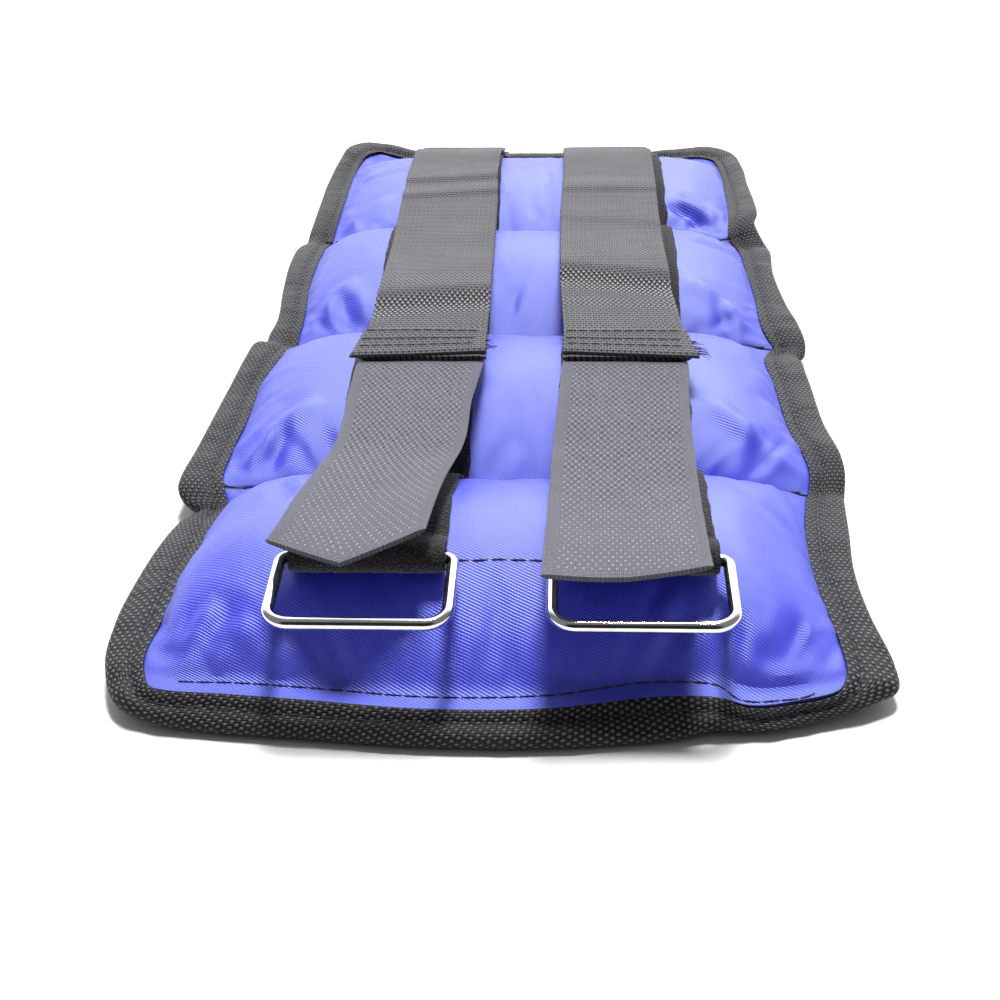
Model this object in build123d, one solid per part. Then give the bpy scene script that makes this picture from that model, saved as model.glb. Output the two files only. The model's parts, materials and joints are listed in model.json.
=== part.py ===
from build123d import *
import math
import os

# An ankle cuff weight laid out flat: four sand-filled cloth pockets in a row, joined by three stitched
# cross seams and bound all round, with two hook-and-loop straps and two wire rings.
# Millimetres. X runs across the cuff, Y along it, Z up. The origin is on the floor under the middle.
# Pocket 1 is at the ring end (-Y), and pocket 4 at the end where the straps are sewn (+Y).

# ---------------------------------------------------------------- the cuff
CUFF_WIDTH = 187.0          # over the binding
CUFF_LENGTH = 408.0         # over the binding
CORNER_RADIUS = 12.0        # outer corners of the binding
POCKET_COUNT = 4
POCKET_PITCH = 97.0         # from one cross seam to the next
SEAM_GAP = 1.6              # from a seam's fold line to the cloth on each side of it
SEAM_HEIGHT = 7.2           # height of the plane where the two cloths meet
CLOTH = 0.8                 # thickness of the coated oxford cloth

# ---------------------------------------------------------------- the stuffed pocket
CROWN_HEIGHTS = {1: 30.5, 2: 27.5, 3: 26.5, 4: 21.5}    # top of each filled pocket
POUCH_HALF_LENGTH = 44.5    # from the crown line to where the pouch meets the flange
POUCH_HALF_WIDTH = 81.5
FILM = 0.5                  # wall of the sealed film bag
INNER_CLEARANCE = 0.2       # between cloth, bag and sand

# ---------------------------------------------------------------- the binding
BINDING_WIDTH = 11.0        # a 22 mm tape folded in half over the edge
BINDING_TAPE = 0.7
BINDING_STITCH_INSET = 7.5  # from the cuff's outer edge

# ---------------------------------------------------------------- loop tape, rings and keepers
TAPE_WIDTH = 38.0
LOOP_THICKNESS = 2.0
LOOP_CENTRE_X = 33.0
LAY_GAP = 0.05              # under a tape that is stitched to the cloth
TAPE_END_GAP = 0.5          # between the tape's end and the binding at the far edge
WIRE_RADIUS = 1.5
RING_WIDTH = 42.0           # between the centre lines of the side bars
RING_DEPTH = 25.0           # between the centre lines of the front and rear bars
RING_REAR_BEND = 2.6        # centre-line radius at the corners beside the keeper
RING_FRONT_BEND = 5.5       # centre-line radius at the front corners
RING_REAR_Y = -168.0
RING_REAR_Z = 30.2
RING_DROP = 2.0             # the front bar lies this much lower than the rear one
KEEPER_CLEARANCE = 0.3
KEEPER_STITCH_Y = -160.0
PANEL_STITCH_Y = -164.0

# ---------------------------------------------------------------- straps
STRAP_CENTRE_X = 31.0
WEBBING = 1.5               # thickness of webbing and of hook tape
STRAP_CLEARANCE = 0.4       # above the loop tape
FOLD_Y = 200.0              # fold line where the strap turns over its sewn end
FOLD_Z = 11.6
SEWN_END_START_Y = 193.2
SEWN_END_LENGTH = 6.2
HEM_Y = -66.0               # fold line between the webbing and the hook tape
HEM_GAP = 1.5
HEM_FLAT = 26.0             # the webbing lies level this far from its hem, then slopes down
TAB_RISE_START_Y = -125.0
RIGHT_TIP_Y = -190.0
LEFT_TIP_Y = -184.0
RIGHT_TIP_RISE = 6.5
LEFT_TIP_RISE = 5.0
LEFT_TIP_CORNER = 9.0       # snipped corners at the left tip

# ---------------------------------------------------------------- thread
THREAD = 0.5                # width of one stitch
THREAD_HEIGHT = 0.35
THREAD_LIFT = 0.12          # under a stitch that lies across a curved surface
STITCH_LENGTH = 2.8
STITCH_PITCH = 4.0

MARGIN = 400.0              # longer than anything here, for cutting blocks

# ---------------------------------------------------------------- values worked out from these
FLANGE_TOP = SEAM_HEIGHT + CLOTH
BINDING_HALF_HEIGHT = CLOTH + BINDING_TAPE
BINDING_TOP = SEAM_HEIGHT + BINDING_HALF_HEIGHT
END_Y = CUFF_LENGTH / 2
SIDE_X = CUFF_WIDTH / 2
LOOP_LIFT = LAY_GAP + LOOP_THICKNESS        # from a pocket's cloth to the top of its loop tape
STRAP_LIFT = LOOP_LIFT + STRAP_CLEARANCE    # and to the underside of the strap
STRAP_BOTTOM = CROWN_HEIGHTS[1] + STRAP_LIFT
STRAP_TOP = STRAP_BOTTOM + WEBBING
SEWN_END_BOTTOM = BINDING_TOP + THREAD_HEIGHT + LAY_GAP
SIDES = {"left": -1, "right": 1}


def pocket_centre(number):
    """Y of a pocket's crown line."""
    return (number - (POCKET_COUNT + 1) / 2) * POCKET_PITCH


def pocket_span(number):
    """The Y range of a pocket's own cloth: a gap at each seam, the cuff's edge at each end."""
    start = pocket_centre(number) - POCKET_PITCH / 2 + SEAM_GAP
    end = pocket_centre(number) + POCKET_PITCH / 2 - SEAM_GAP
    if number == 1:
        start = -END_Y
    if number == POCKET_COUNT:
        end = END_Y
    return start, end


def block(x_range, y_range, z_range):
    """A rectangular block between two corners."""
    size = [high - low for low, high in (x_range, y_range, z_range)]
    middle = [(low + high) / 2 for low, high in (x_range, y_range, z_range)]
    return Pos(*middle) * Box(*size)


def dome_radius(number, lift=0.0):
    """Radius of the arc over a pocket, or of an arc that lies a lift above it."""
    rise = CROWN_HEIGHTS[number] - SEAM_HEIGHT
    return (POUCH_HALF_LENGTH**2 + rise**2) / (2 * rise) + lift


def dome_centre_z(number):
    """Height of the axis of the arc over a pocket."""
    return CROWN_HEIGHTS[number] - dome_radius(number)


def dome_point(number, lift, y_offset):
    """Height of the arc that lies a lift above a pocket, at a distance from the crown line."""
    return dome_centre_z(number) + math.sqrt(dome_radius(number, lift) ** 2 - y_offset**2)


def dome_reach(number, lift, z):
    """Distance from the crown line at which that arc comes down to a height."""
    return math.sqrt(dome_radius(number, lift) ** 2 - (z - dome_centre_z(number)) ** 2)


# ---------------------------------------------------------------- cloth, bag and sand
def pouch(number, shrink):
    """A pocket's stuffed pouch about Y = 0, every wall moved inwards by the given amount."""
    long_half, wide_half = POUCH_HALF_LENGTH, POUCH_HALF_WIDTH
    crown = CROWN_HEIGHTS[number]
    rise = crown - SEAM_HEIGHT
    along = make_face(
        ThreePointArc((-long_half, SEAM_HEIGHT), (0, crown), (long_half, SEAM_HEIGHT))
        + Polyline(
            (long_half, SEAM_HEIGHT),
            (long_half - SEAM_HEIGHT, 0),
            (SEAM_HEIGHT - long_half, 0),
            (-long_half, SEAM_HEIGHT),
        )
    )
    shoulder = wide_half - rise
    knee = rise * math.sqrt(0.5)
    across = make_face(
        ThreePointArc(
            (wide_half, SEAM_HEIGHT),
            (shoulder + knee, SEAM_HEIGHT + knee),
            (shoulder, crown),
        )
        + Line((shoulder, crown), (-shoulder, crown))
        + ThreePointArc(
            (-shoulder, crown),
            (-shoulder - knee, SEAM_HEIGHT + knee),
            (-wide_half, SEAM_HEIGHT),
        )
        + Polyline(
            (-wide_half, SEAM_HEIGHT),
            (SEAM_HEIGHT - wide_half, 0),
            (wide_half - SEAM_HEIGHT, 0),
            (wide_half, SEAM_HEIGHT),
        )
    )
    if shrink > 0:
        along = offset(along, amount=-shrink)
        across = offset(across, amount=-shrink)
    long_body = extrude(Plane.YZ * along, amount=MARGIN / 2, both=True)
    wide_body = extrude(Plane.XZ * across, amount=MARGIN / 2, both=True)
    return long_body & wide_body


def cuff_outline(inset, bottom, top):
    """A slab of the whole cuff's outline, moved inwards by the inset."""
    outline = RectangleRounded(
        CUFF_WIDTH - 2 * inset, CUFF_LENGTH - 2 * inset, max(CORNER_RADIUS - inset, 1.0)
    )
    return Pos(0, 0, bottom) * extrude(outline, amount=top - bottom)


def pocket_slice(number, solid):
    """The part of a whole-cuff solid that belongs to one pocket."""
    everything = (-MARGIN, MARGIN)
    return solid & block(everything, pocket_span(number), everything)


def cloth_panel(number, upper):
    """One cloth of a pocket: half of the stuffed shell with the flat flange round it."""
    everything = (-MARGIN, MARGIN)
    half = (SEAM_HEIGHT, MARGIN) if upper else (-MARGIN, SEAM_HEIGHT)
    flange = (SEAM_HEIGHT, FLANGE_TOP) if upper else (SEAM_HEIGHT - CLOTH, SEAM_HEIGHT)
    move = Pos(0, pocket_centre(number), 0)
    shell = (move * pouch(number, 0)) & block(everything, everything, half)
    plate = pocket_slice(number, cuff_outline(BINDING_TAPE, *flange))
    return (shell + plate) - move * pouch(number, CLOTH)


def filling_bag(number):
    """A sealed film bag with the sand's space inside it."""
    outside = CLOTH + INNER_CLEARANCE
    return Pos(0, pocket_centre(number), 0) * (pouch(number, outside) - pouch(number, outside + FILM))


def sand_fill(number):
    """The sand in one bag."""
    inset = CLOTH + FILM + 2 * INNER_CLEARANCE
    return Pos(0, pocket_centre(number), 0) * pouch(number, inset)


# ---------------------------------------------------------------- binding
def binding(number):
    """Tape folded over the edges of both cloths along one pocket."""
    low, high = SEAM_HEIGHT - BINDING_HALF_HEIGHT, SEAM_HEIGHT + BINDING_HALF_HEIGHT
    frame = cuff_outline(0, low, high) - cuff_outline(BINDING_WIDTH, low, high)
    folded = frame - cuff_outline(BINDING_TAPE, SEAM_HEIGHT - CLOTH, FLANGE_TOP)
    return pocket_slice(number, folded)


# ---------------------------------------------------------------- stitches
def stitch_row(start, end, z):
    """Short lengths of thread lying on a surface along a straight row."""
    run = math.dist(start, end)
    count = max(1, math.floor(run / STITCH_PITCH))
    angle = math.degrees(math.atan2(end[1] - start[1], end[0] - start[0]))
    stitch = Box(STITCH_LENGTH, THREAD, THREAD_HEIGHT)
    row = []
    for index in range(count):
        share = (index + 0.5) / count
        x = start[0] + share * (end[0] - start[0])
        y = start[1] + share * (end[1] - start[1])
        row.append(Pos(x, y, z + THREAD_HEIGHT / 2) * Rot(0, 0, angle) * stitch)
    return row


def binding_stitches(number):
    """The row that holds the binding down, along both sides and across each end."""
    start, end = pocket_span(number)
    row_x = SIDE_X - BINDING_STITCH_INSET
    row_end = END_Y - BINDING_STITCH_INSET
    low, high = max(start, -row_end), min(end, row_end)
    row = []
    for side in SIDES.values():
        row += stitch_row((side * row_x, low), (side * row_x, high), BINDING_TOP)
    reach = row_x - STITCH_PITCH
    if number == 1:
        row += stitch_row((-reach, -row_end), (reach, -row_end), BINDING_TOP)
    if number == POCKET_COUNT:
        row += stitch_row((-reach, row_end), (reach, row_end), BINDING_TOP)
    return row


def seam_thread(y):
    """The stitches of a cross seam, on its fold line."""
    reach = SIDE_X - BINDING_WIDTH
    count = math.floor(2 * reach / STITCH_PITCH)
    stitch = Rot(0, 90, 0) * Cylinder(THREAD, STITCH_LENGTH)
    first = -(count - 1) / 2 * STITCH_PITCH
    return [Pos(first + index * STITCH_PITCH, y, SEAM_HEIGHT) * stitch for index in range(count)]


def closing_stitch():
    """The row that closes the filled pocket at the ring end, just inside the binding."""
    row_y = pocket_centre(1) - POUCH_HALF_LENGTH - 1.5
    reach = SIDE_X - BINDING_WIDTH - 1
    return stitch_row((-reach, row_y), (reach, row_y), FLANGE_TOP)


def keeper_stitches():
    """The row that closes both ring keepers and runs on across the cloth between them."""
    tape_z = dome_point(1, LOOP_LIFT, KEEPER_STITCH_Y - pocket_centre(1)) + THREAD_LIFT
    cloth_z = dome_point(1, 0, PANEL_STITCH_Y - pocket_centre(1)) + THREAD_LIFT
    inner = LOOP_CENTRE_X - TAPE_WIDTH / 2
    outer = LOOP_CENTRE_X + TAPE_WIDTH / 2
    row = stitch_row((1 - inner, PANEL_STITCH_Y), (inner - 1, PANEL_STITCH_Y), cloth_z)
    for side in SIDES.values():
        row += stitch_row(
            (side * (inner + 1), KEEPER_STITCH_Y), (side * (outer - 1), KEEPER_STITCH_Y), tape_z
        )
    return row


def hem_stitches(side):
    """Two rows across the webbing just behind the hem."""
    reach = TAPE_WIDTH / 2 - 1
    centre = side * STRAP_CENTRE_X
    row = []
    for distance in (6.0, 9.0):
        y = HEM_Y + distance
        row += stitch_row((centre - reach, y), (centre + reach, y), STRAP_TOP)
    return row


def anchor_stitches(side):
    """Two rows across the sewn-down end of a strap."""
    reach = TAPE_WIDTH / 2 - 1
    centre = side * STRAP_CENTRE_X
    row = []
    for distance in (1.5, 4.5):
        y = SEWN_END_START_Y + distance
        row += stitch_row((centre - reach, y), (centre + reach, y), SEWN_END_BOTTOM + WEBBING)
    return row


# ---------------------------------------------------------------- loop tape and ring keeper
def loop_tape(side, number):
    """Loop tape sewn over one pocket; on pocket 1 it ends in the fold that keeps the ring."""
    drop = FLANGE_TOP + LAY_GAP
    arc_band = Circle(dome_radius(number, LOOP_LIFT)) - Circle(dome_radius(number, LAY_GAP))
    band = Plane.YZ * (Pos(0, dome_centre_z(number)) * arc_band)
    reach = POCKET_PITCH / 2 - SEAM_GAP
    front = -reach
    if number == 1:
        front = RING_REAR_Y - pocket_centre(1)
    width = (-TAPE_WIDTH / 2, TAPE_WIDTH / 2)
    tape = extrude(band, amount=TAPE_WIDTH / 2, both=True)
    tape = tape & block(width, (front, reach), (drop, MARGIN))
    foot_reach = reach
    if number == POCKET_COUNT:
        foot_reach = END_Y - BINDING_WIDTH - TAPE_END_GAP - pocket_centre(number)
    foot_start = dome_reach(number, LAY_GAP, drop)
    tape += block(width, (foot_start, foot_reach), (drop, drop + LOOP_THICKNESS))
    if number > 1:
        tape += block(width, (-reach, -foot_start), (drop, drop + LOOP_THICKNESS))
    tape = Pos(side * LOOP_CENTRE_X, pocket_centre(number), 0) * tape
    if number == 1:
        eye = WIRE_RADIUS + KEEPER_CLEARANCE
        centre = Pos(side * LOOP_CENTRE_X, RING_REAR_Y, RING_REAR_Z) * Rot(0, 90, 0)
        tape += centre * Cylinder(eye + LOOP_THICKNESS, TAPE_WIDTH)
        tape -= centre * Cylinder(eye, TAPE_WIDTH + 2)
    return tape


def ring(side):
    """A rectangular ring of round wire, its rear bar in the keeper."""
    outline = Rectangle(RING_WIDTH, RING_DEPTH)
    front = outline.vertices().sort_by(Axis.Y)[:2]
    outline = fillet(front, RING_FRONT_BEND)
    rear = outline.vertices().sort_by(Axis.Y)[-2:]
    outline = fillet(rear, RING_REAR_BEND)
    path = outline.faces()[0].outer_wire()
    start = path @ 0
    section = Plane(origin=start, z_dir=path % 0) * Circle(WIRE_RADIUS)
    wire = sweep(section, path=path)
    tilt = math.degrees(math.asin(RING_DROP / RING_DEPTH))
    flat = Pos(0, -RING_DEPTH / 2, 0) * wire
    return Pos(side * LOOP_CENTRE_X, RING_REAR_Y, RING_REAR_Z) * Rot(tilt, 0, 0) * flat


# ---------------------------------------------------------------- straps
def strap_webbing(side):
    """Webbing from the fold at the far edge, over the last two crowns and forward to the hem."""
    last, before = pocket_centre(POCKET_COUNT), pocket_centre(POCKET_COUNT - 1)
    last_z = CROWN_HEIGHTS[POCKET_COUNT] + STRAP_LIFT
    before_z = CROWN_HEIGHTS[POCKET_COUNT - 1] + STRAP_LIFT
    top_lift = STRAP_LIFT + WEBBING
    tail_top = FOLD_Z + WEBBING
    tail_end = FOLD_Y - SEAM_GAP
    lower_y = last + dome_reach(POCKET_COUNT, STRAP_LIFT, FOLD_Z)
    upper_y = last + dome_reach(POCKET_COUNT, top_lift, tail_top)
    half = POUCH_HALF_LENGTH / 2
    profile = make_face(
        Line((tail_end, FOLD_Z), (lower_y, FOLD_Z))
        + ThreePointArc(
            (lower_y, FOLD_Z), (last + half, dome_point(POCKET_COUNT, STRAP_LIFT, half)), (last, last_z)
        )
        + Polyline(
            (last, last_z),
            (before, before_z),
            (HEM_Y + HEM_FLAT, STRAP_BOTTOM),
            (HEM_Y + HEM_GAP, STRAP_BOTTOM),
            (HEM_Y + HEM_GAP, STRAP_TOP),
            (HEM_Y + HEM_FLAT, STRAP_TOP),
            (before, before_z + WEBBING),
            (last, last_z + WEBBING),
        )
        + ThreePointArc(
            (last, last_z + WEBBING),
            (last + half, dome_point(POCKET_COUNT, top_lift, half)),
            (upper_y, tail_top),
        )
        + Polyline((upper_y, tail_top), (tail_end, tail_top), (tail_end, FOLD_Z))
    )
    body = extrude(Plane.YZ * profile, amount=TAPE_WIDTH / 2, both=True)
    return Pos(side * STRAP_CENTRE_X, 0, 0) * body


def strap_sewn_end(side):
    """The end of the strap that is sewn down on the binding at the far edge."""
    centre = side * STRAP_CENTRE_X
    return block(
        (centre - TAPE_WIDTH / 2, centre + TAPE_WIDTH / 2),
        (SEWN_END_START_Y, SEWN_END_START_Y + SEWN_END_LENGTH),
        (SEWN_END_BOTTOM, SEWN_END_BOTTOM + WEBBING),
    )


def hook_tape(side):
    """Hook tape from the hem forward, lifting to its cut tip above the ring."""
    tip_y = RIGHT_TIP_Y if side > 0 else LEFT_TIP_Y
    rise = RIGHT_TIP_RISE if side > 0 else LEFT_TIP_RISE
    start_y = HEM_Y - HEM_GAP
    run = TAB_RISE_START_Y - tip_y
    radius = (run**2 + rise**2) / (2 * rise)
    middle = (TAB_RISE_START_Y - run / 2, radius - math.sqrt(radius**2 - (run / 2) ** 2))
    lower = ThreePointArc((TAB_RISE_START_Y, 0), middle, (tip_y, rise))
    upper = ThreePointArc(
        (TAB_RISE_START_Y, WEBBING), (middle[0], middle[1] + WEBBING), (tip_y, rise + WEBBING)
    )
    profile = make_face(
        Line((start_y, 0), (TAB_RISE_START_Y, 0))
        + lower
        + Line((tip_y, rise), (tip_y, rise + WEBBING))
        + upper
        + Polyline((TAB_RISE_START_Y, WEBBING), (start_y, WEBBING), (start_y, 0))
    )
    tab = extrude(Plane.YZ * profile, amount=TAPE_WIDTH / 2, both=True)
    if side < 0:
        diagonal = LEFT_TIP_CORNER * math.sqrt(2)
        snip = Rot(0, 0, 45) * Box(diagonal, diagonal, MARGIN)
        for edge in (-TAPE_WIDTH / 2, TAPE_WIDTH / 2):
            tab -= Pos(edge, tip_y, 0) * snip
    return Pos(side * STRAP_CENTRE_X, 0, STRAP_BOTTOM) * tab


# ---------------------------------------------------------------- writing the parts
def write(name, pieces):
    """One STEP file for one node, which may be a group of separate solids."""
    solids = []
    for piece in pieces if isinstance(pieces, list) else [pieces]:
        solids += piece.solids()
    shape = solids[0] if len(solids) == 1 else Compound(children=solids)
    export_step(shape, f"parts/{name}.step")


os.makedirs("parts", exist_ok=True)

for pocket in range(1, POCKET_COUNT + 1):
    write(f"outer_panel_{pocket}", cloth_panel(pocket, upper=True))
    write(f"inner_panel_{pocket}", cloth_panel(pocket, upper=False))
    write(f"filling_bag_{pocket}", filling_bag(pocket))
    write(f"sand_fill_{pocket}", sand_fill(pocket))
    write(f"binding_{pocket}", binding(pocket))
    write(f"binding_stitch_{pocket}", binding_stitches(pocket))

for seam in range(1, POCKET_COUNT):
    seam_y = pocket_centre(seam) + POCKET_PITCH / 2
    write(f"seam_thread_{seam}{seam + 1}", seam_thread(seam_y))

write("closing_stitch_front", closing_stitch())
write("keeper_stitch", keeper_stitches())

for side_name, side_sign in SIDES.items():
    for pocket in range(1, POCKET_COUNT + 1):
        write(f"loop_tape_{side_name}_{pocket}", loop_tape(side_sign, pocket))
    write(f"ring_{side_name}", ring(side_sign))
    write(f"strap_webbing_{side_name}", strap_webbing(side_sign))
    write(f"strap_sewn_end_{side_name}", strap_sewn_end(side_sign))
    write(f"hook_tape_{side_name}", hook_tape(side_sign))
    write(f"hem_stitch_{side_name}", hem_stitches(side_sign))
    write(f"anchor_stitch_{side_name}", anchor_stitches(side_sign))
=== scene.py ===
import json
import math
import random
import bpy
import numpy as np
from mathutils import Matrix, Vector, noise
from mathutils.bvhtree import BVHTree


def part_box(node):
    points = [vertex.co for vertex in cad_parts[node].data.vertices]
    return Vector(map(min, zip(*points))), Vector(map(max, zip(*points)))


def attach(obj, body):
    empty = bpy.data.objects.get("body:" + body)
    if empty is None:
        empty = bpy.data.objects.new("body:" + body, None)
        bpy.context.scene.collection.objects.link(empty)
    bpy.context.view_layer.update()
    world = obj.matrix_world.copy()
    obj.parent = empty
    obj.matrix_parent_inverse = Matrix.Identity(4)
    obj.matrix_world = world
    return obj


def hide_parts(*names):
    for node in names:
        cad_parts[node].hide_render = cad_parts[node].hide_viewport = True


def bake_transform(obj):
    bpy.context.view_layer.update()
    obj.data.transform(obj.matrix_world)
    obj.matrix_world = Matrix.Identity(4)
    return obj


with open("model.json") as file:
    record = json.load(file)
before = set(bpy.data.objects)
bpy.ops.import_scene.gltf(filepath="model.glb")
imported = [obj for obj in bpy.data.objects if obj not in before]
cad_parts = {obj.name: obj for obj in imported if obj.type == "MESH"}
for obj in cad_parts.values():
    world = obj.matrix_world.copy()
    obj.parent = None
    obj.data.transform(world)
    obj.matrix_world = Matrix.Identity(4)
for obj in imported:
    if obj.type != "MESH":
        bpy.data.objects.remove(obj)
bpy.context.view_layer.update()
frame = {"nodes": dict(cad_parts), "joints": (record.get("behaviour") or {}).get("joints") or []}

# An ankle cuff weight laid out flat. Lengths are in millimetres until a mesh is made, which is in metres.
# X runs across the cuff and Y along it: pocket 1, with the rings, is at the near end, at low Y.
MM = 0.001


# ==== The four pockets: outer cloth and lining ====
# One long panel of blue oxford lies over one of black lining. Both are sewn together at three cross seams
# and round the edge, and every pocket between two seams holds its own bag of sand.
seam_y = {}
for joint in frame["joints"]:
    if joint["name"].startswith("seam_fold_"):
        seam_y[joint["name"][-2:]] = joint["pos_m"][1] / MM
SEAM_Z = 7.2
FLOOR_GAP = 0.25             # the lining's underside lies this much over the floor
CROWN_Z = {1: 30.2, 2: 27.2, 3: 26.2, 4: 21.2}      # each pocket's top: the far ones lie flatter
CLOTH = 0.6
ACROSS = 88                  # cells of the cloth across the cuff
ALONG = 46                   # cells of the cloth along one pocket
NEAR_FLANGE = 6.8            # flat margin of the near pocket, past its closing stitches
FAR_FLANGE = 4.0             # and of the far pocket
SIM_SCALE = 10.0             # the cloth solver is happier with a larger pocket
SIM_FRAMES = 20
MAX_SHIFT = 7.0              # the most that the sand pushes the cloth from its first shape
SIDE_SLOPE = 34.0            # width over which a pocket's top rises from its side
UNDER_SLOPE = 10.0           # and over which its lining comes down from its edge
SHARP_ANGLE = 52             # degrees past which an edge is shaded sharp

# The cuff's edge from the near left corner, up the left side, round the far end and back.
# Each row: fold of the binding (x, y, z), then its lip on the cloth (x, y, z).
LEFT_EDGE = [
    (-92, -193, 4, -84, -190, 8.5), (-97.5, -180, 6, -87, -180, 9.5), (-98.5, -167, 7.5, -86, -167, 10),
    (-98, -154, 8, -85.5, -150, 10.5), (-96, -131, 7.5, -84, -136, 10), (-93.5, -114, 5.5, -83, -118, 9),
    (-90, -106.5, 3.8, -82, -106, 6.8), (-94.5, -103.5, 6, -82, -102.5, 7.2),
    (-97, -99.5, 8, -83.5, -99, 8.4),
    (-97.5, -94, 8.8, -85, -94, 9.5), (-96.5, -76, 8.5, -85, -80, 10), (-95.5, -55, 8.5, -84, -58, 10),
    (-94.5, -35, 8.5, -84, -34, 10), (-93, -14, 9.5, -81.5, -16, 10), (-91.8, -3, 9.2, -79.5, -5, 9),
    (-89.3, 1.5, 6.5, -78.3, 1, 7), (-89, 8, 7, -78, 8, 8.5), (-88, 20, 7.5, -78, 19, 9.5),
    (-90, 45, 8, -80, 45, 10), (-91.5, 69, 8, -80.3, 69, 10), (-91.3, 88, 7, -79.5, 88, 9),
    (-89.5, 98, 5, -79, 98, 6.8), (-89, 108, 7, -78.5, 108, 9), (-88.5, 134, 9, -78, 125, 11),
    (-88.5, 153, 10, -78, 155, 12), (-86.5, 183, 12, -77, 181, 12), (-84, 197, 13, -74.5, 189, 13),
]
FAR_EDGE = [
    (-77, 204, 12.5, -70, 194, 12.5), (-66, 205, 11, -64, 194, 11), (-53, 205, 7.8, -53, 194, 8.4),
    (-25, 204.5, 7, -25, 194, 8), (10, 204, 7, 10, 193.5, 8), (45, 204, 7, 45, 193.5, 8),
    (62, 203, 9, 61, 192, 9.5), (77, 201, 11, 72, 190, 11),
]
RIGHT_EDGE = [
    (86.5, 193, 11, 78, 184, 11.5), (90, 173, 11, 80.2, 165, 12), (90, 152, 11.5, 80, 148, 12),
    (90.3, 125, 13, 79.5, 125, 12.5), (90, 112, 13, 78.5, 108, 12.5), (88.3, 103.5, 12, 77.8, 99.5, 11),
    (90.5, 97, 8.5, 78.5, 95.5, 8.5), (92.8, 90.5, 6, 80.2, 91.5, 7.3), (92.3, 80, 8.5, 80.5, 80, 9.8),
    (91, 59, 9, 81, 62, 10), (92.8, 32, 8, 81.7, 38, 10), (95, 15.5, 8, 81.8, 13, 9.5),
    (96, 5, 6.5, 83.5, 5, 8), (95.3, -1, 4.5, 85, 0.5, 6.8), (92.5, -5.5, 5, 82, -5, 7.5),
    (92.3, -15, 8, 80, -15, 9.5), (93, -30, 8, 81, -33, 10), (93.7, -58, 8, 82, -62, 10),
    (95.5, -79, 9.5, 84.5, -79, 10), (95.8, -87, 7.5, 85.2, -88, 9), (94.6, -95.5, 4, 84, -96, 6.8),
    (93.8, -101, 5.5, 82.3, -104, 8), (92, -120, 7.5, 79.8, -121, 10), (90.5, -139, 7.5, 79, -141, 10),
    (91.5, -158, 7, 80.3, -160, 10), (94.5, -177, 5.5, 81.8, -177, 9.5), (94, -185, 4.5, 81.5, -184, 9),
]
NEAR_EDGE = [
    (89, -188, 3.5, 79, -189, 8.5), (76, -192.5, 1.7, 69, -192.5, 8), (61, -197, 1.7, 58, -194.5, 8),
    (50, -198, 2.5, 50, -192, 8.5), (40, -200.5, 1.7, 38, -192, 8.5), (8, -204, 1.5, 10, -196.5, 8),
    (-24, -203.6, 1.5, -20, -197, 8), (-47, -201.5, 1.5, -45, -195, 8.5),
    (-70, -199.5, 1.6, -66, -193, 8.5), (-84, -197, 2.2, -79, -192, 8.5),
]

# Wrinkles and dents pressed into the filled pockets: where each starts and ends, depth and half-width.
CREASES = [
    (36, -190, 44, -174, 1.8, 2.6), (44, -190, 47, -181, -1.2, 2.4), (53, -190, 55, -176, 2.4, 2.8),
    (64, -190, 61, -182, 2.2, 2.4), (72, -172, 66, -186, 2.2, 2.4), (78, -184, 72, -172, -1.4, 2.4),
    (24, -190, 20, -178, 1.0, 3.0), (60, -126, 77, -139, 1.2, 3.0), (-73, -188, -66, -174, 1.8, 3.2),
    (-58, -190, -50, -176, 1.9, 3.2), (-64, -191, -60, -181, 1.4, 2.6), (-80, -186, -76, -170, 1.3, 2.6),
    (-40, -190, -44, -180, 0.9, 3.0), (-62, -122, -58, -136, 2.0, 2.8), (-54, -126, -50, -112, 1.0, 2.6),
    (-82, -93, -60, -70, -1.8, 3.4), (82, -93, 58, -72, -1.8, 3.4), (-72, -94, -68, -78, 2.0, 2.6),
    (68, -94, 74, -78, 1.8, 2.6), (-52, -94, -56, -82, 1.1, 2.6), (26, -94, 32, -82, 1.2, 2.6),
    (56, 114, 76, 101, 3.8, 2.8), (66, 108, 62, 98, 2.2, 2.2), (74, 116, 60, 122, 1.4, 2.6),
    (-66, 20, -58, 4, 2.0, 3.2), (-74, 24, -70, 6, 1.2, 2.6), (80, 4, 58, 24, -1.8, 3.4),
    (70, 4, 66, 18, 1.6, 2.6), (-80, 3, -60, 26, -1.6, 3.4), (-76, 100, -58, 120, -1.4, 3.4),
    (-70, 100, -64, 112, 1.3, 2.6), (-50, 150, -74, 145, 1.3, 2.8), (-52, 172, -72, 166, 1.0, 2.8),
    (-20, -6, -34, -16, 1.1, 3.4), (74, -60, 80, -42, 1.4, 2.6), (60, 60, 76, 66, 1.1, 2.8),
    (-8, 4, -4, 20, 0.9, 2.6), (6, 100, 2, 114, 0.8, 2.6), (-4, -94, 2, -80, 0.8, 2.8),
]


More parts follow.
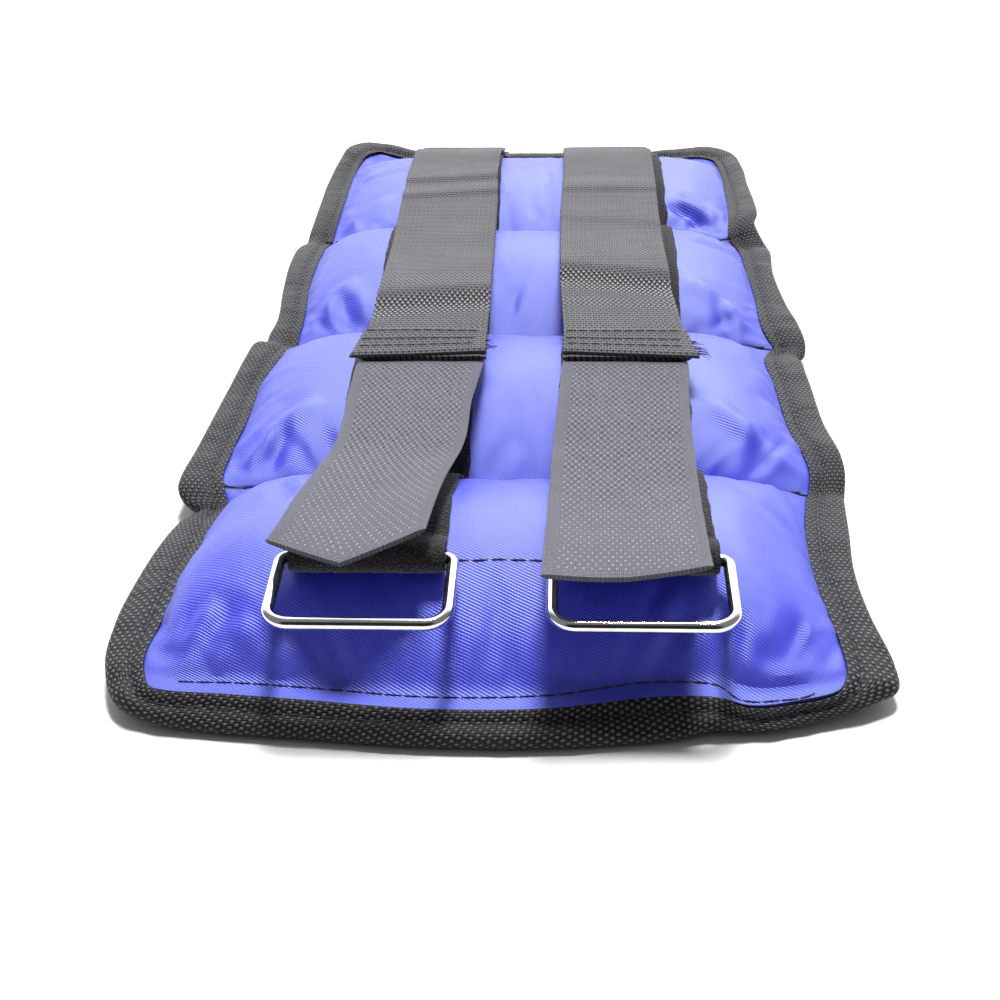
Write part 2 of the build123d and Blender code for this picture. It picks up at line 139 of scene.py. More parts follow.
def smooth_line(points, step, closed=False):
    """A smooth line through rows of numbers, in steps of about one length, and where each row is on it."""
    points = np.array(points, float)
    if closed:
        padded = np.vstack([points[-1:], points, points[:2]])
    else:
        padded = np.vstack([2 * points[0] - points[1], points, 2 * points[-1] - points[-2]])
    line = []
    marks = []
    for before, start, end, after in zip(padded[:-3], padded[1:-2], padded[2:-1], padded[3:]):
        span_before, span, span_after = (
            np.linalg.norm(b - a) ** 0.5 for a, b in ((before, start), (start, end), (end, after))
        )
        leave = end - start + span * ((start - before) / span_before - (end - before) / (span_before + span))
        arrive = end - start + span * ((after - end) / span_after - (after - start) / (span + span_after))
        marks.append(len(line))
        steps = max(1, round(np.linalg.norm((end - start)[:3]) / step))
        for t in np.arange(steps) / steps:
            line.append(
                start + leave * t
                + (-3 * (start - end) - 2 * leave - arrive) * t**2
                + (2 * (start - end) + leave + arrive) * t**3
            )
    if not closed:
        marks.append(len(line))
        line.append(points[-1])
    return np.array(line), marks


edge_line, edge_marks = smooth_line(LEFT_EDGE + FAR_EDGE + RIGHT_EDGE + NEAR_EDGE, 0.9, closed=True)
corner_rows = [0]
for side_rows in (LEFT_EDGE, FAR_EDGE, RIGHT_EDGE):
    corner_rows.append(corner_rows[-1] + len(side_rows))
near_left, far_left, far_right, near_right = (edge_marks[row] for row in corner_rows)

# The cloths' own edge runs just under the binding's lip.
fold_line = edge_line[:, :3]
lip_line = edge_line[:, 3:]
outward = fold_line - lip_line
outward /= np.linalg.norm(outward, axis=1)[:, None]
cloth_edge = lip_line + 0.6 * outward
cloth_edge[:, 2] = lip_line[:, 2] - 1.0


def at_length(line, fractions):
    """Points at fractions of the length of a line of points."""
    steps = np.linalg.norm(np.diff(line, axis=0), axis=1)
    travelled = np.concatenate([[0], np.cumsum(steps)])
    return np.stack([np.interp(fractions * travelled[-1], travelled, line[:, k]) for k in range(3)], axis=1)


def side_run(side, start, end):
    """The cloths' edge up one side of the cuff, between two values of Y."""
    if side == "left":
        run = cloth_edge[near_left:far_left + 1]
    else:
        run = cloth_edge[far_right:near_right + 1][::-1]
    ys = np.linspace(max(start, run[0, 1]), min(end, run[-1, 1]), 60)
    return np.stack([np.interp(ys, run[:, 1], run[:, k]) for k in range(3)], axis=1)


def seam_run(y, left_end, right_end):
    """A cross seam from side to side: straight, and bent only near its two ends."""
    xs = np.linspace(left_end[0], right_end[0], 60)
    from_end = np.minimum(xs - xs[0], xs[-1] - xs)
    near_end = np.clip(1 - from_end / 16, 0, 1) ** 2
    end_z = np.where(xs < 0, left_end[2], right_end[2])
    return np.stack([xs, np.full(60, y), SEAM_Z + (end_z - SEAM_Z) * near_end], axis=1)


def smooth_step(value):
    value = np.clip(value, 0, 1)
    return value * value * (3 - 2 * value)


def pocket_grids(number):
    """The two cloths of a filled pocket as grids of points, before the sand has pushed them into shape."""
    start = seam_y[f"{number - 1}{number}"] + 0.2 if number > 1 else -300
    end = seam_y[f"{number}{number + 1}"] - 0.2 if number < 4 else 300
    left = side_run("left", start, end)
    right = side_run("right", start, end)
    if number == 1:
        near = np.vstack([cloth_edge[near_right:], cloth_edge[:1]])[::-1]
    else:
        near = seam_run(start, left[0], right[0])
    if number == 4:
        far = cloth_edge[far_left:far_right + 1]
    else:
        far = seam_run(end, left[-1], right[-1])
    u = np.linspace(0, 1, ACROSS + 1)
    v = np.linspace(0, 1, ALONG + 1)
    left, right = at_length(left, v), at_length(right, v)
    near, far = at_length(near, u), at_length(far, u)
    uu, vv = u[None, :, None], v[:, None, None]
    base = (
        (1 - vv) * near[None] + vv * far[None] + (1 - uu) * left[:, None] + uu * right[:, None]
        - (1 - vv) * ((1 - uu) * near[0] + uu * near[-1]) - vv * ((1 - uu) * far[0] + uu * far[-1])
    )
    length = np.linalg.norm(base[-1] - base[0], axis=1)[None, :]
    from_near = v[:, None] * length
    from_far = (1 - v)[:, None] * length
    if number == 1:
        from_near = np.maximum(0, from_near - NEAR_FLANGE)
    if number == 4:
        from_far = np.maximum(0, from_far - FAR_FLANGE)
    half = (from_near + from_far) / 2
    off_middle = np.abs(from_near - from_far) / (2 * half)
    along = 0.55 * np.sqrt(np.clip(1 - off_middle**2.2, 0, 1)) + 0.45 * np.clip(1 - off_middle**2.4, 0, 1)
    width = np.linalg.norm(base[:, -1] - base[:, 0], axis=1)[:, None]
    from_side = np.minimum(u, 1 - u)[None, :] * width
    across = 1 - (1 - np.clip(from_side / SIDE_SLOPE, 0, 1)) ** 2.3
    upper = base.copy()
    upper[:, :, 2] += (CROWN_Z[number] - SEAM_Z) * along * across
    inside = np.minimum(np.minimum(from_near, from_far), from_side)
    lower = base.copy()
    outside = (1 - np.clip(inside / UNDER_SLOPE, 0, 1)) ** 1.5
    rim = np.minimum(np.minimum(v[:, None] * length, (1 - v)[:, None] * length), from_side)
    lower[:, :, 2] = FLOOR_GAP + (base[:, :, 2] - FLOOR_GAP) * outside
    lower[:, :, 2] -= 1.3 * smooth_step(rim / 2) * outside * (number in (1, 4))
    return upper, lower, inside


def border_faces(rows, columns, below):
    """Faces that close the border between a grid and the same grid some points further on."""
    ring = [(0, c) for c in range(columns)] + [(r, columns) for r in range(rows)]
    ring += [(rows, c) for c in range(columns, 0, -1)] + [(r, 0) for r in range(rows, 0, -1)]
    faces = []
    for (r0, c0), (r1, c1) in zip(ring, ring[1:] + ring[:1]):
        first, second = r0 * (columns + 1) + c0, r1 * (columns + 1) + c1
        faces.append([second, first, first + below, second + below])
    return faces


def closed_faces(rows, columns, lower_index):
    """Faces of an upper grid, and of a lower grid that shares its border."""
    upper_faces = []
    lower_faces = []
    for row in range(rows):
        for column in range(columns):
            corners = [(row, column), (row, column + 1), (row + 1, column + 1), (row + 1, column)]
            upper_faces.append([r * (columns + 1) + c for r, c in corners])
            lower_faces.append([int(lower_index[r, c]) for r, c in reversed(corners)])
    return upper_faces, lower_faces


def new_piece(name, points, faces, cut=None):
    """A mesh object from points in millimetres. cut is each point's place on the flat cloth, in metres."""
    mesh = bpy.data.meshes.new(name)
    mesh.from_pydata((np.asarray(points) * MM).tolist(), [], faces)
    if cut is not None:
        layer = mesh.uv_layers.new(name="cut")
        corners = np.zeros(len(mesh.loops), int)
        mesh.loops.foreach_get("vertex_index", corners)
        layer.data.foreach_set("uv", np.asarray(cut)[corners].ravel().astype(np.float32))
    mesh.polygons.foreach_set("use_smooth", [True] * len(mesh.polygons))
    mesh.set_sharp_from_angle(angle=math.radians(SHARP_ANGLE))
    mesh.update()
    piece = bpy.data.objects.new(name, mesh)
    bpy.context.collection.objects.link(piece)
    return piece


def settle(piece):
    """Makes a piece's modifiers part of its mesh."""
    graph = bpy.context.evaluated_depsgraph_get()
    mesh = bpy.data.meshes.new_from_object(
        piece.evaluated_get(graph), preserve_all_data_layers=True, depsgraph=graph
    )
    piece.modifiers.clear()
    piece.data = mesh
    mesh.name = piece.name


def points_of(mesh):
    """A mesh's points, in millimetres."""
    points = np.zeros(len(mesh.vertices) * 3)
    mesh.vertices.foreach_get("co", points)
    return points.reshape(-1, 3) / MM


def filled(shapes):
    """Lets the sand's pressure push every pocket's cloths into shape, with their edges sewn down."""
    forms = {}
    for number, (points, faces, pinned) in shapes.items():
        form = new_piece(f"form_{number}", points * SIM_SCALE, faces)
        sewn = form.vertex_groups.new(name="sewn")
        sewn.add([int(p) for p in pinned], 1.0, "REPLACE")
        cloth = form.modifiers.new("cloth", "CLOTH")
        cloth.settings.quality = 4
        cloth.settings.mass = 0.15
        cloth.settings.tension_stiffness = 25
        cloth.settings.compression_stiffness = 25
        cloth.settings.shear_stiffness = 8
        cloth.settings.bending_stiffness = 0.25
        cloth.settings.tension_damping = 10
        cloth.settings.compression_damping = 10
        cloth.settings.shear_damping = 8
        cloth.settings.bending_damping = 1
        cloth.settings.use_pressure = True
        cloth.settings.uniform_pressure_force = 4
        cloth.settings.vertex_group_mass = "sewn"
        cloth.settings.shrink_min = -0.035      # a little more cloth than the shape needs, so it puckers
        cloth.settings.effector_weights.gravity = 0
        cloth.collision_settings.use_collision = False
        forms[number] = form
    for step in range(1, SIM_FRAMES + 1):
        bpy.context.scene.frame_set(step)
    graph = bpy.context.evaluated_depsgraph_get()
    results = {}
    for number, form in forms.items():
        results[number] = points_of(form.evaluated_get(graph).data) / SIM_SCALE
    bpy.context.scene.frame_set(1)
    for form in forms.values():
        bpy.data.objects.remove(form)
    return results


grids = {number: pocket_grids(number) for number in (1, 2, 3, 4)}
lower_index = np.arange((ALONG + 1) * (ACROSS + 1)).reshape(ALONG + 1, ACROSS + 1)
lower_inside = np.arange((ALONG - 1) * (ACROSS - 1)).reshape(ALONG - 1, ACROSS - 1)
lower_index[1:-1, 1:-1] = lower_index.size + lower_inside
upper_faces, lower_faces = closed_faces(ALONG, ACROSS, lower_index)
shapes = {}
for number, (upper, lower, inside) in grids.items():
    points = np.vstack([upper.reshape(-1, 3), lower[1:-1, 1:-1].reshape(-1, 3)])
    pinned = np.flatnonzero(inside.ravel() < 0.05)
    shapes[number] = (points, upper_faces + lower_faces, pinned)
simulated = filled(shapes)


def wobble(x, y, size, seed=0.0):
    """Smooth noise from -1 to 1 over a grid of places, with lumps of the given size."""
    flat = [noise.noise(Vector((a / size, b / size, seed))) for a, b in zip(x.ravel(), y.ravel())]
    return np.array(flat).reshape(x.shape)


def pressed(x, y, crease):
    """How far one wrinkle pushes the cloth down at each place, with a low ridge on each side."""
    x0, y0, x1, y1, depth, half_width = crease
    run = np.array([x1 - x0, y1 - y0], float)
    length = np.linalg.norm(run)
    run /= length
    t = (x - x0) * run[0] + (y - y0) * run[1]
    beside = -(x - x0) * run[1] + (y - y0) * run[0]
    taper = smooth_step(np.minimum(t + half_width, length + half_width - t) / (2.5 * half_width))
    s = beside / half_width
    ridges = 0.35 * np.exp(-((s - 1.7) ** 2)) + 0.2 * np.exp(-((s + 1.7) ** 2))
    return depth * taper * (np.exp(-s * s) - ridges)


pockets = {}
for number, (upper, lower, inside) in grids.items():
    shape = upper.copy()
    if number in simulated:
        pushed = simulated[number][: shape.shape[0] * shape.shape[1]].reshape(shape.shape)
        shift = pushed - upper
        distance = np.linalg.norm(shift, axis=2, keepdims=True)
        shape = upper + shift * np.minimum(1, MAX_SHIFT / np.maximum(distance, 1e-6))
        over = shape[:, :, 2] - SEAM_Z
        over *= (CROWN_Z[number] - SEAM_Z) / np.percentile(over, 97)
        shape[:, :, 2] = np.where(inside < 0.05, upper[:, :, 2], SEAM_Z + over)
    x, y = shape[:, :, 0], shape[:, :, 1]
    loose = smooth_step(inside / 12)
    gather = np.exp(-inside / 9) * smooth_step(inside / 2.5)
    shape[:, :, 2] += 0.55 * loose * wobble(x, y, 21, number)
    shape[:, :, 2] += 1.2 * gather * wobble(x, y * 0.35, 5.5, 7 + number)
    for crease in CREASES:
        shape[:, :, 2] -= loose * pressed(x, y, crease)
    shape[:, :, 2] = np.maximum(shape[:, :, 2], lower[:, :, 2] + 1.0 * (inside > 0.05))
    pockets[number] = (shape, lower, inside)

cut_of = {}
for number, (shape, lower, inside) in pockets.items():
    over_x = np.linalg.norm(np.diff(grids[number][0], axis=1), axis=2).mean(axis=0)
    over_y = np.linalg.norm(np.diff(grids[number][0], axis=0), axis=2).mean(axis=1)
    across_cut = np.concatenate([[0], np.cumsum(over_x)]) * MM
    along_cut = np.concatenate([[0], np.cumsum(over_y)]) * MM + 0.13 * number
    cut_of[number] = np.stack(np.meshgrid(across_cut, along_cut), axis=2)


class Socket:
    """A socket of a material's nodes. Sums and products of sockets add the nodes that work them out."""

    def __init__(self, tree, source=None):
        self.tree = tree
        self.source = source

    def node(self, kind, settings=None, inputs=None, output=0):
        """Adds any node: its settings first, then the values or links of its sockets."""
        made = self.tree.nodes.new(kind)
        for name, value in (settings or {}).items():
            setattr(made, name, value)
        for name, value in (inputs or {}).items():
            if isinstance(value, Socket):
                self.tree.links.new(value.source, made.inputs[name])
            else:
                made.inputs[name].default_value = value
        return Socket(self.tree, made.outputs[output] if made.outputs else None)

    def math(self, operation, *values):
        return self.node("ShaderNodeMath", {"operation": operation}, dict(enumerate(values)))

    def __add__(self, other):
        return self.math("ADD", self, other)

    def __radd__(self, other):
        return self.math("ADD", other, self)

    def __sub__(self, other):
        return self.math("SUBTRACT", self, other)

    def __rsub__(self, other):
        return self.math("SUBTRACT", other, self)

    def __mul__(self, other):
        return self.math("MULTIPLY", self, other)

    def __rmul__(self, other):
        return self.math("MULTIPLY", other, self)

    def __truediv__(self, other):
        return self.math("DIVIDE", self, other)

    def whole(self):
        return self.math("FLOOR", self)

    def part(self):
        return self.math("FRACT", self)

    def most(self, other):
        return self.math("MAXIMUM", self, other)

    def size(self):
        return self.math("ABSOLUTE", self)

    def between(self, low, high):
        """0 below low, 1 above high, and smooth from one to the other."""
        return self.node(
            "ShaderNodeMapRange", {"interpolation_type": "SMOOTHSTEP"},
            {"Value": self, "From Min": low, "From Max": high},
        )

    def mix(self, first, second):
        """A colour between two, this socket being the share of the second."""
        colours = {}
        for socket, colour in ((6, first), (7, second)):
            colours[socket] = colour if isinstance(colour, Socket) else (*colour, 1)
        return self.node("ShaderNodeMix", {"data_type": "RGBA"}, {0: self, **colours}, output=2)


def new_material(name):
    """An empty material, and the socket that its nodes start from."""
    material = bpy.data.materials.new(name)
    material.use_nodes = True
    material.node_tree.nodes.clear()
    return material, Socket(material.node_tree)


def finish_material(start, colour, roughness, height=None, depth=0.0002, **constants):
    """The surface shader, with relief from a height of 0 to 1 times a depth in metres."""
    inputs = {"Base Color": colour, "Roughness": roughness}
    if height is not None:
        inputs["Normal"] = start.node(
            "ShaderNodeBump", None, {"Strength": 1.0, "Distance": depth, "Height": height}
        )
    for name, value in constants.items():
        inputs[name.replace("_", " ")] = value
    surface = start.node("ShaderNodeBsdfPrincipled", None, inputs)
    start.node("ShaderNodeOutputMaterial", None, {"Surface": surface})


def flat_place(start):
    """Where a point is on its flat cloth, across and along, in metres."""
    cut = start.node("ShaderNodeUVMap", {"uv_map": "cut"})
    return (
        start.node("ShaderNodeSeparateXYZ", None, {0: cut}, 0),
        start.node("ShaderNodeSeparateXYZ", None, {0: cut}, 1),
        cut,
    )


def lumps(start, place, size, detail=2.0):
    """Noise from 0 to 1 with lumps of the given size, in metres."""
    return start.node(
        "ShaderNodeTexNoise", None, {"Vector": place, "Scale": 1 / size, "Detail": detail, "Roughness": 0.55}
    )


def plain_weave(across, along, pitch_across, pitch_along):
    """Height of a plain weave, and 1 where the thread on top runs along the cloth. Pitches are in metres."""
    x = across / pitch_across
    y = along / pitch_along
    parity = ((x.whole() + y.whole()) / 2).part()
    over = parity.math("GREATER_THAN", parity, 0.25)
    dx = (x.part() - 0.5) * 2
    dy = (y.part() - 0.5) * 2
    round_x = 1 - dx * dx
    round_y = 1 - dy * dy
    lengthwise = round_x * (round_y * 0.6 + 0.4)
    crosswise = round_y * (round_x * 0.6 + 0.4)
    return over * lengthwise + (1 - over) * crosswise, over


WARP_PITCH = 0.00042         # metres
RIB_PITCH = 0.00078
ASKEW = (0.87, 0.5)          # how far along and across its threads the oxford is cut, near 30 degrees


def oxford(name, groove_shade, thread, painted_highlight, sheen, gloss):
    """Coated 600-denier oxford: fine ribbed weave, satin where threads turn to the light, cut askew. Its
    colour carries painted shade in the weave's grooves and painted highlights on the ribs, in streaks and in
    random patches.
    """
    material, start = new_material(name)
    across, along, cut = flat_place(start)
    weft = along * ASKEW[0] + across * ASKEW[1]
    warp = across * ASKEW[0] - along * ASKEW[1]
    height, _ = plain_weave(warp, weft, WARP_PITCH, RIB_PITCH)
    rib = (weft / RIB_PITCH).part() - 0.5
    rib = 1 - rib * rib * 4
    patches = lumps(start, cut, 0.03)
    highlight_streaks = lumps(start, cut, 0.0035, 1.0)
    # Painted shade in the weave's grooves, and painted highlights on the ribs' crests and in streaks.
    shade = height * 0.55 + rib * 0.45 + highlight_streaks * 0.12 - 0.08
    colour = shade.between(0.1, 0.95).mix(groove_shade, thread)
    # Random patches get a painted highlight colour.
    colour = (patches.between(0.35, 0.75) * 0.25).mix(colour, painted_highlight)
    finish_material(
        start, colour, 0.42 + 0.12 * patches, height * 0.5 + rib * 0.5, 0.0001,
        Sheen_Weight=sheen, Sheen_Roughness=0.3, Sheen_Tint=(0.8, 0.92, 1.0, 1.0),
        Specular_IOR_Level=gloss, Specular_Tint=(0.84, 0.97, 1.0, 1.0), IOR=1.7,
    )
    return material


outer_cloth = oxford(
    "outer_cloth", groove_shade=(0.003, 0.003, 0.42), thread=(0.022, 0.022, 0.95), painted_highlight=(0.035, 0.040, 1.0),
    sheen=0.35, gloss=1.0,
)
inner_cloth = oxford(
    "inner_cloth", groove_shade=(0.004, 0.004, 0.005), thread=(0.022, 0.022, 0.025), painted_highlight=(0.03, 0.03, 0.034),
    sheen=0.2, gloss=0.3,
)

outer_pieces = {}
for number, (shape, lower, inside) in pockets.items():
    cut = cut_of[number]
    outer = new_piece(f"outer_cloth_{number}", shape.reshape(-1, 3), upper_faces, cut.reshape(-1, 2))
    smoother = outer.modifiers.new("smooth", "SUBSURF")
    smoother.levels = smoother.render_levels = 1
    thicker = outer.modifiers.new("thickness", "SOLIDIFY")
    thicker.thickness = CLOTH * MM
    thicker.offset = -1
    settle(outer)
    outer.data.materials.clear()
    outer.data.materials.append(outer_cloth)
    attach(outer, f"pocket_{number}")
    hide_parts(f"outer_panel_{number}")
    outer_pieces[number] = outer

    faces = [list(reversed(face)) for face in upper_faces]
    lining = new_piece(f"lining_{number}", lower.reshape(-1, 3), faces, cut.reshape(-1, 2))
    thicker = lining.modifiers.new("thickness", "SOLIDIFY")
    thicker.thickness = 0.4 * MM
    thicker.offset = -1
    settle(lining)
    lining.data.materials.clear()
    lining.data.materials.append(inner_cloth)
    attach(lining, f"pocket_{number}")
    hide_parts(f"inner_panel_{number}")


# ==== Sealed bags and the sand in them ====
# Each pocket is weighted by dry sand in a heat-sealed film bag. The bag fills its pocket but for a thin gap,
# and the sand fills the bag.
BAG_GAP = 1.3
SAND_GAP = 2.0
BAG_RIM = 4                  # cells of the cloth between the bag and its edges
SAND_RIM = 5


def filling(name, number, gap, rim):
    """A closed form inside a pocket's two cloths, a gap from each and a few cells in from their edges."""
    shape, lower, _ = pockets[number]
    top = shape[rim:-rim, rim:-rim].copy()
    bottom = lower[rim:-rim, rim:-rim].copy()
    top[:, :, 2] -= gap
    bottom[:, :, 2] += gap
    rows, columns = top.shape[0] - 1, top.shape[1] - 1
    top[:, :, 2] = np.maximum(top[:, :, 2], bottom[:, :, 2] + 0.4)
    base = top.shape[0] * top.shape[1]
    index = base + np.arange(base).reshape(top.shape[:2])
    above, below = closed_faces(rows, columns, index)
    faces = above + below + border_faces(rows, columns, base)
    return new_piece(name, np.vstack([top.reshape(-1, 3), bottom.reshape(-1, 3)]), faces)


def object_place(start):
    return start.node("ShaderNodeTexCoord", None, None, 3)


film, start = new_material("film")
place = object_place(start)
folds = lumps(start, place, 0.006, 3.0)
colour = folds.between(0.3, 0.7).mix((0.55, 0.57, 0.6), (0.75, 0.77, 0.8))
finish_material(start, colour, 0.12 + 0.2 * folds, folds, 0.0006, Specular_IOR_Level=0.6)
sand, start = new_material("sand")
place = object_place(start)
grains = start.node("ShaderNodeTexVoronoi", None, {"Vector": place, "Scale": 1400.0})
shades = lumps(start, place, 0.0011, 1.0)
colour = shades.between(0.3, 0.7).mix((0.20, 0.13, 0.07), (0.55, 0.42, 0.27))
finish_material(start, colour, 0.85 + 0.1 * shades, 1 - grains, 0.0004)
for number in pockets:
    bag = filling(f"film_bag_{number}", number, BAG_GAP, BAG_RIM)
    bag.data.materials.append(film)
    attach(bag, f"pocket_{number}")
    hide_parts(f"filling_bag_{number}")
    fill = filling(f"sand_{number}", number, SAND_GAP, SAND_RIM)
    fill.data.materials.append(sand)
    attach(fill, f"pocket_{number}")
    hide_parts(f"sand_fill_{number}")


# ==== Cross seams ====
# Black polyester lockstitches join both cloths along each valley between two pockets.
thread, start = new_material("thread")
place = object_place(start)
twist = start.node("ShaderNodeTexWave", {"bands_direction": "DIAGONAL"}, {"Vector": place, "Scale": 900.0})
fuzz = lumps(start, place, 0.0007)
colour = (twist * 0.6 + fuzz * 0.4).mix((0.004, 0.004, 0.006), (0.035, 0.035, 0.042))
finish_material(start, colour, 0.55 + 0.2 * fuzz, twist, 0.00008, Sheen_Weight=0.2)


def dress(node, material):
    """Gives a CAD node a finish."""
    mesh = frame["nodes"][node].data
    mesh.materials.clear()
    mesh.materials.append(material)


for seam in seam_y:
    dress(f"seam_thread_{seam}", thread)


# ==== Binding ====
# A 22 mm woven polyester tape, charcoal, folded in half over the edges of both cloths. It lies loose between
# its stitches, tucks in at each seam end and puffs out again beside it.
TAPE_HALF = 1.35             # from the middle of the folded tape to its face
TAPE_THICK = 0.7
STITCH_FROM_LIP = 3.5
STITCH_PITCH = 4.0
ease_line = np.concatenate([[0], np.cumsum(np.linalg.norm(np.diff(fold_line, axis=0), axis=1))])


def thick_sheet(name, top, thickness, flip=False, along_start=0.0):
    """A closed sheet of cloth from a grid of points on its face, with its flat place along and across."""
    along = np.gradient(top, axis=0)
    across = np.gradient(top, axis=1)
    normal = np.cross(along, across) if flip else np.cross(across, along)
    normal /= np.linalg.norm(normal, axis=2, keepdims=True)
    rows, columns = top.shape[0] - 1, top.shape[1] - 1
    share = np.abs(np.linspace(-1, 1, columns + 1))[None, :, None]
    back = top - normal * thickness * (1 - 0.45 * share**24)
    face = top - normal * thickness * 0.3 * share**24
    count = face.shape[0] * face.shape[1]
    faces = []
    for r in range(rows):
        for c in range(columns):
            corners = [(r, c), (r, c + 1), (r + 1, c + 1), (r + 1, c)]
            loop = [a * (columns + 1) + b for a, b in corners]
            faces.append(loop)
            faces.append([count + p for p in reversed(loop)])
    faces += border_faces(rows, columns, count)
    if flip:
        faces = [list(reversed(f)) for f in faces]
    across_cut = np.concatenate([[0], np.cumsum(np.linalg.norm(np.diff(top, axis=1), axis=2).mean(axis=0))])
    along_cut = np.concatenate([[0], np.cumsum(np.linalg.norm(np.diff(top, axis=0), axis=2).mean(axis=1))])
    flat = np.stack(np.meshgrid(across_cut, along_cut + along_start), axis=2).reshape(-1, 2) * MM
    points = np.vstack([face.reshape(-1, 3), back.reshape(-1, 3)])
    return new_piece(name, points, faces, np.vstack([flat, flat]))


def smoothed(line, times):
    for _ in range(times):
        line = (np.roll(line, 1, axis=0) + 2 * line + np.roll(line, -1, axis=0)) / 4
    return line


lip_middle = lip_line - np.array([0, 0, TAPE_HALF])
leaf = fold_line - lip_middle
leaf_width = np.linalg.norm(leaf, axis=1)[:, None]
leaf /= leaf_width
run = smoothed(np.roll(fold_line + lip_line, -1, axis=0) - np.roll(fold_line + lip_line, 1, axis=0), 6)
face_up = np.cross(run, leaf)
face_up /= np.linalg.norm(face_up, axis=1)[:, None]
ripple = np.array([noise.noise(Vector((p[0] / 13, p[1] / 13, 3.1))) for p in fold_line])[:, None]
crinkle = np.array([noise.noise(Vector((p[0] / 4.5, p[1] / 4.5, 8.4))) for p in fold_line])[:, None]


def leaf_height(from_lip):
    """How high the tape's face stands over its middle, from its lip to its fold."""
    stitched = np.exp(-(((from_lip - STITCH_FROM_LIP) / 1.0) ** 2))
    between = 0.5 + 0.5 * np.cos(2 * np.pi * ease_line[:, None] / STITCH_PITCH)
    puff = np.sin(np.pi * np.clip((from_lip - STITCH_FROM_LIP) / (leaf_width - STITCH_FROM_LIP), 0, 1))
    lift = np.exp(-from_lip / 1.5) * 0.35 * crinkle
    loose = puff * (0.55 + 0.7 * ripple + 0.4 * crinkle)
    return TAPE_HALF - stitched * (0.45 + 0.25 * (1 - between)) + loose + lift


columns = []
for share in np.linspace(0, 1, 11):
    from_lip = share * (leaf_width - TAPE_HALF)
    columns.append(lip_middle + leaf * from_lip + face_up * leaf_height(from_lip))
fold_centre = fold_line - leaf * TAPE_HALF
for angle in np.radians([65, 40, 15, -10, -35, -60, -90]):
    columns.append(fold_centre + TAPE_HALF * (leaf * math.cos(angle) + face_up * math.sin(angle)))
for share in (0.75, 0.5, 0.25, 0.0):
    from_lip = share * (leaf_width - TAPE_HALF)
    columns.append(lip_middle + leaf * from_lip - face_up * TAPE_HALF)
band = np.stack(columns, axis=1)
band[:, :, 2] = np.maximum(band[:, :, 2], 0.2)


def side_row(side, y):
    """The row of the edge line at a value of Y, up the left or the right side."""
    if side == "left":
        return near_left + int(np.argmin(np.abs(fold_line[near_left:far_left, 1] - y)))
    return far_right + int(np.argmin(np.abs(fold_line[far_right:near_right, 1] - y)))


crown_y = [(seam_y["12"] * 3 - seam_y["23"]) / 2]
for seam in ("12", "23", "34"):
    crown_y.append(2 * seam_y[seam] - crown_y[-1])
spans = {}
left_rows = [side_row("left", y) for y in crown_y]
right_rows = [side_row("right", y) for y in crown_y]
whole = len(edge_line)
spans["near"] = (np.arange(right_rows[0], whole + left_rows[0] + 1) % whole, "1", None)
spans["far"] = (np.arange(left_rows[3], right_rows[3] + 1), "4", None)
for first, seam in enumerate(("12", "23", "34")):
    spans[f"left_{seam}"] = (np.arange(left_rows[first], left_rows[first + 1] + 1), seam, seam)
    spans[f"right_{seam}"] = (np.arange(right_rows[first + 1], right_rows[first] + 1), seam, seam)


def follow(piece, pockets_named, seam):
    """A piece on one pocket rides it, and a piece over a cross seam stays where it is, on no pocket."""
    if seam is None:
        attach(piece, f"pocket_{pockets_named}")
    else:
        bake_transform(piece)


def stitches(name, line, normals, length, gap, radius=0.27, bow=0.3):
    """A row of thread stitches along a line on a face: each rises out of its hole and dives into the next."""
    steps = np.linalg.norm(np.diff(line, axis=0), axis=1)
    travelled = np.concatenate([[0], np.cumsum(steps)])
    points = []
    faces = []
    place = gap / 2
    while place + length < travelled[-1]:
        at = place + length * np.array([0, 0.12, 0.5, 0.88, 1.0])
        centre = np.stack([np.interp(at, travelled, line[:, k]) for k in range(3)], axis=1)
        up = np.stack([np.interp(at, travelled, normals[:, k]) for k in range(3)], axis=1)
        up /= np.linalg.norm(up, axis=1)[:, None]
        heading = centre[-1] - centre[0]
        heading /= np.linalg.norm(heading)
        beside = np.cross(heading, up)
        height = radius * np.array([-1.0, 0.35, 1.0, 0.35, -1.0]) * (1 + bow) - radius * 0.3
        width = radius * np.array([0.55, 1.0, 1.1, 1.0, 0.55])
        first = len(points)
        for k in range(5):
            for angle in np.arange(6) * math.pi / 3:
                rise = height[k] + width[k] * math.sin(angle)
                points.append(centre[k] + up[k] * rise + beside[k] * width[k] * math.cos(angle))
        for k in range(4):
            for j in range(6):
                a, b = first + 6 * k + j, first + 6 * k + (j + 1) % 6
                faces.append([a, b, b + 6, a + 6])
        faces.append([first + j for j in reversed(range(6))])
        faces.append([first + 24 + j for j in range(6)])
        place += length + gap
    piece = new_piece(name, points, faces)
    piece.data.materials.append(thread)
    return piece


binding_tape, start = new_material("binding_tape")
across, along, cut = flat_place(start)
height, over = plain_weave(along, across, 0.00138, 0.0008)
relief = height * (0.2 + 0.8 * over)
patches = lumps(start, cut, 0.02)
yarn = lumps(start, cut, 0.0009, 1.0)
# The weave's grooves are painted nearly black, as shade.
shade = relief * 1.1 + yarn * 0.3 - 0.22
colour = shade.between(0.15, 0.95).mix((0.0015, 0.0015, 0.002), (0.13, 0.13, 0.145))
colour = (patches.between(0.45, 0.8) * 0.12).mix(colour, (0.10, 0.10, 0.11))
finish_material(
    start, colour, 0.5 + 0.15 * patches, relief, 0.0005,
    Sheen_Weight=0.05, Sheen_Roughness=0.4, Specular_IOR_Level=0.3,
)

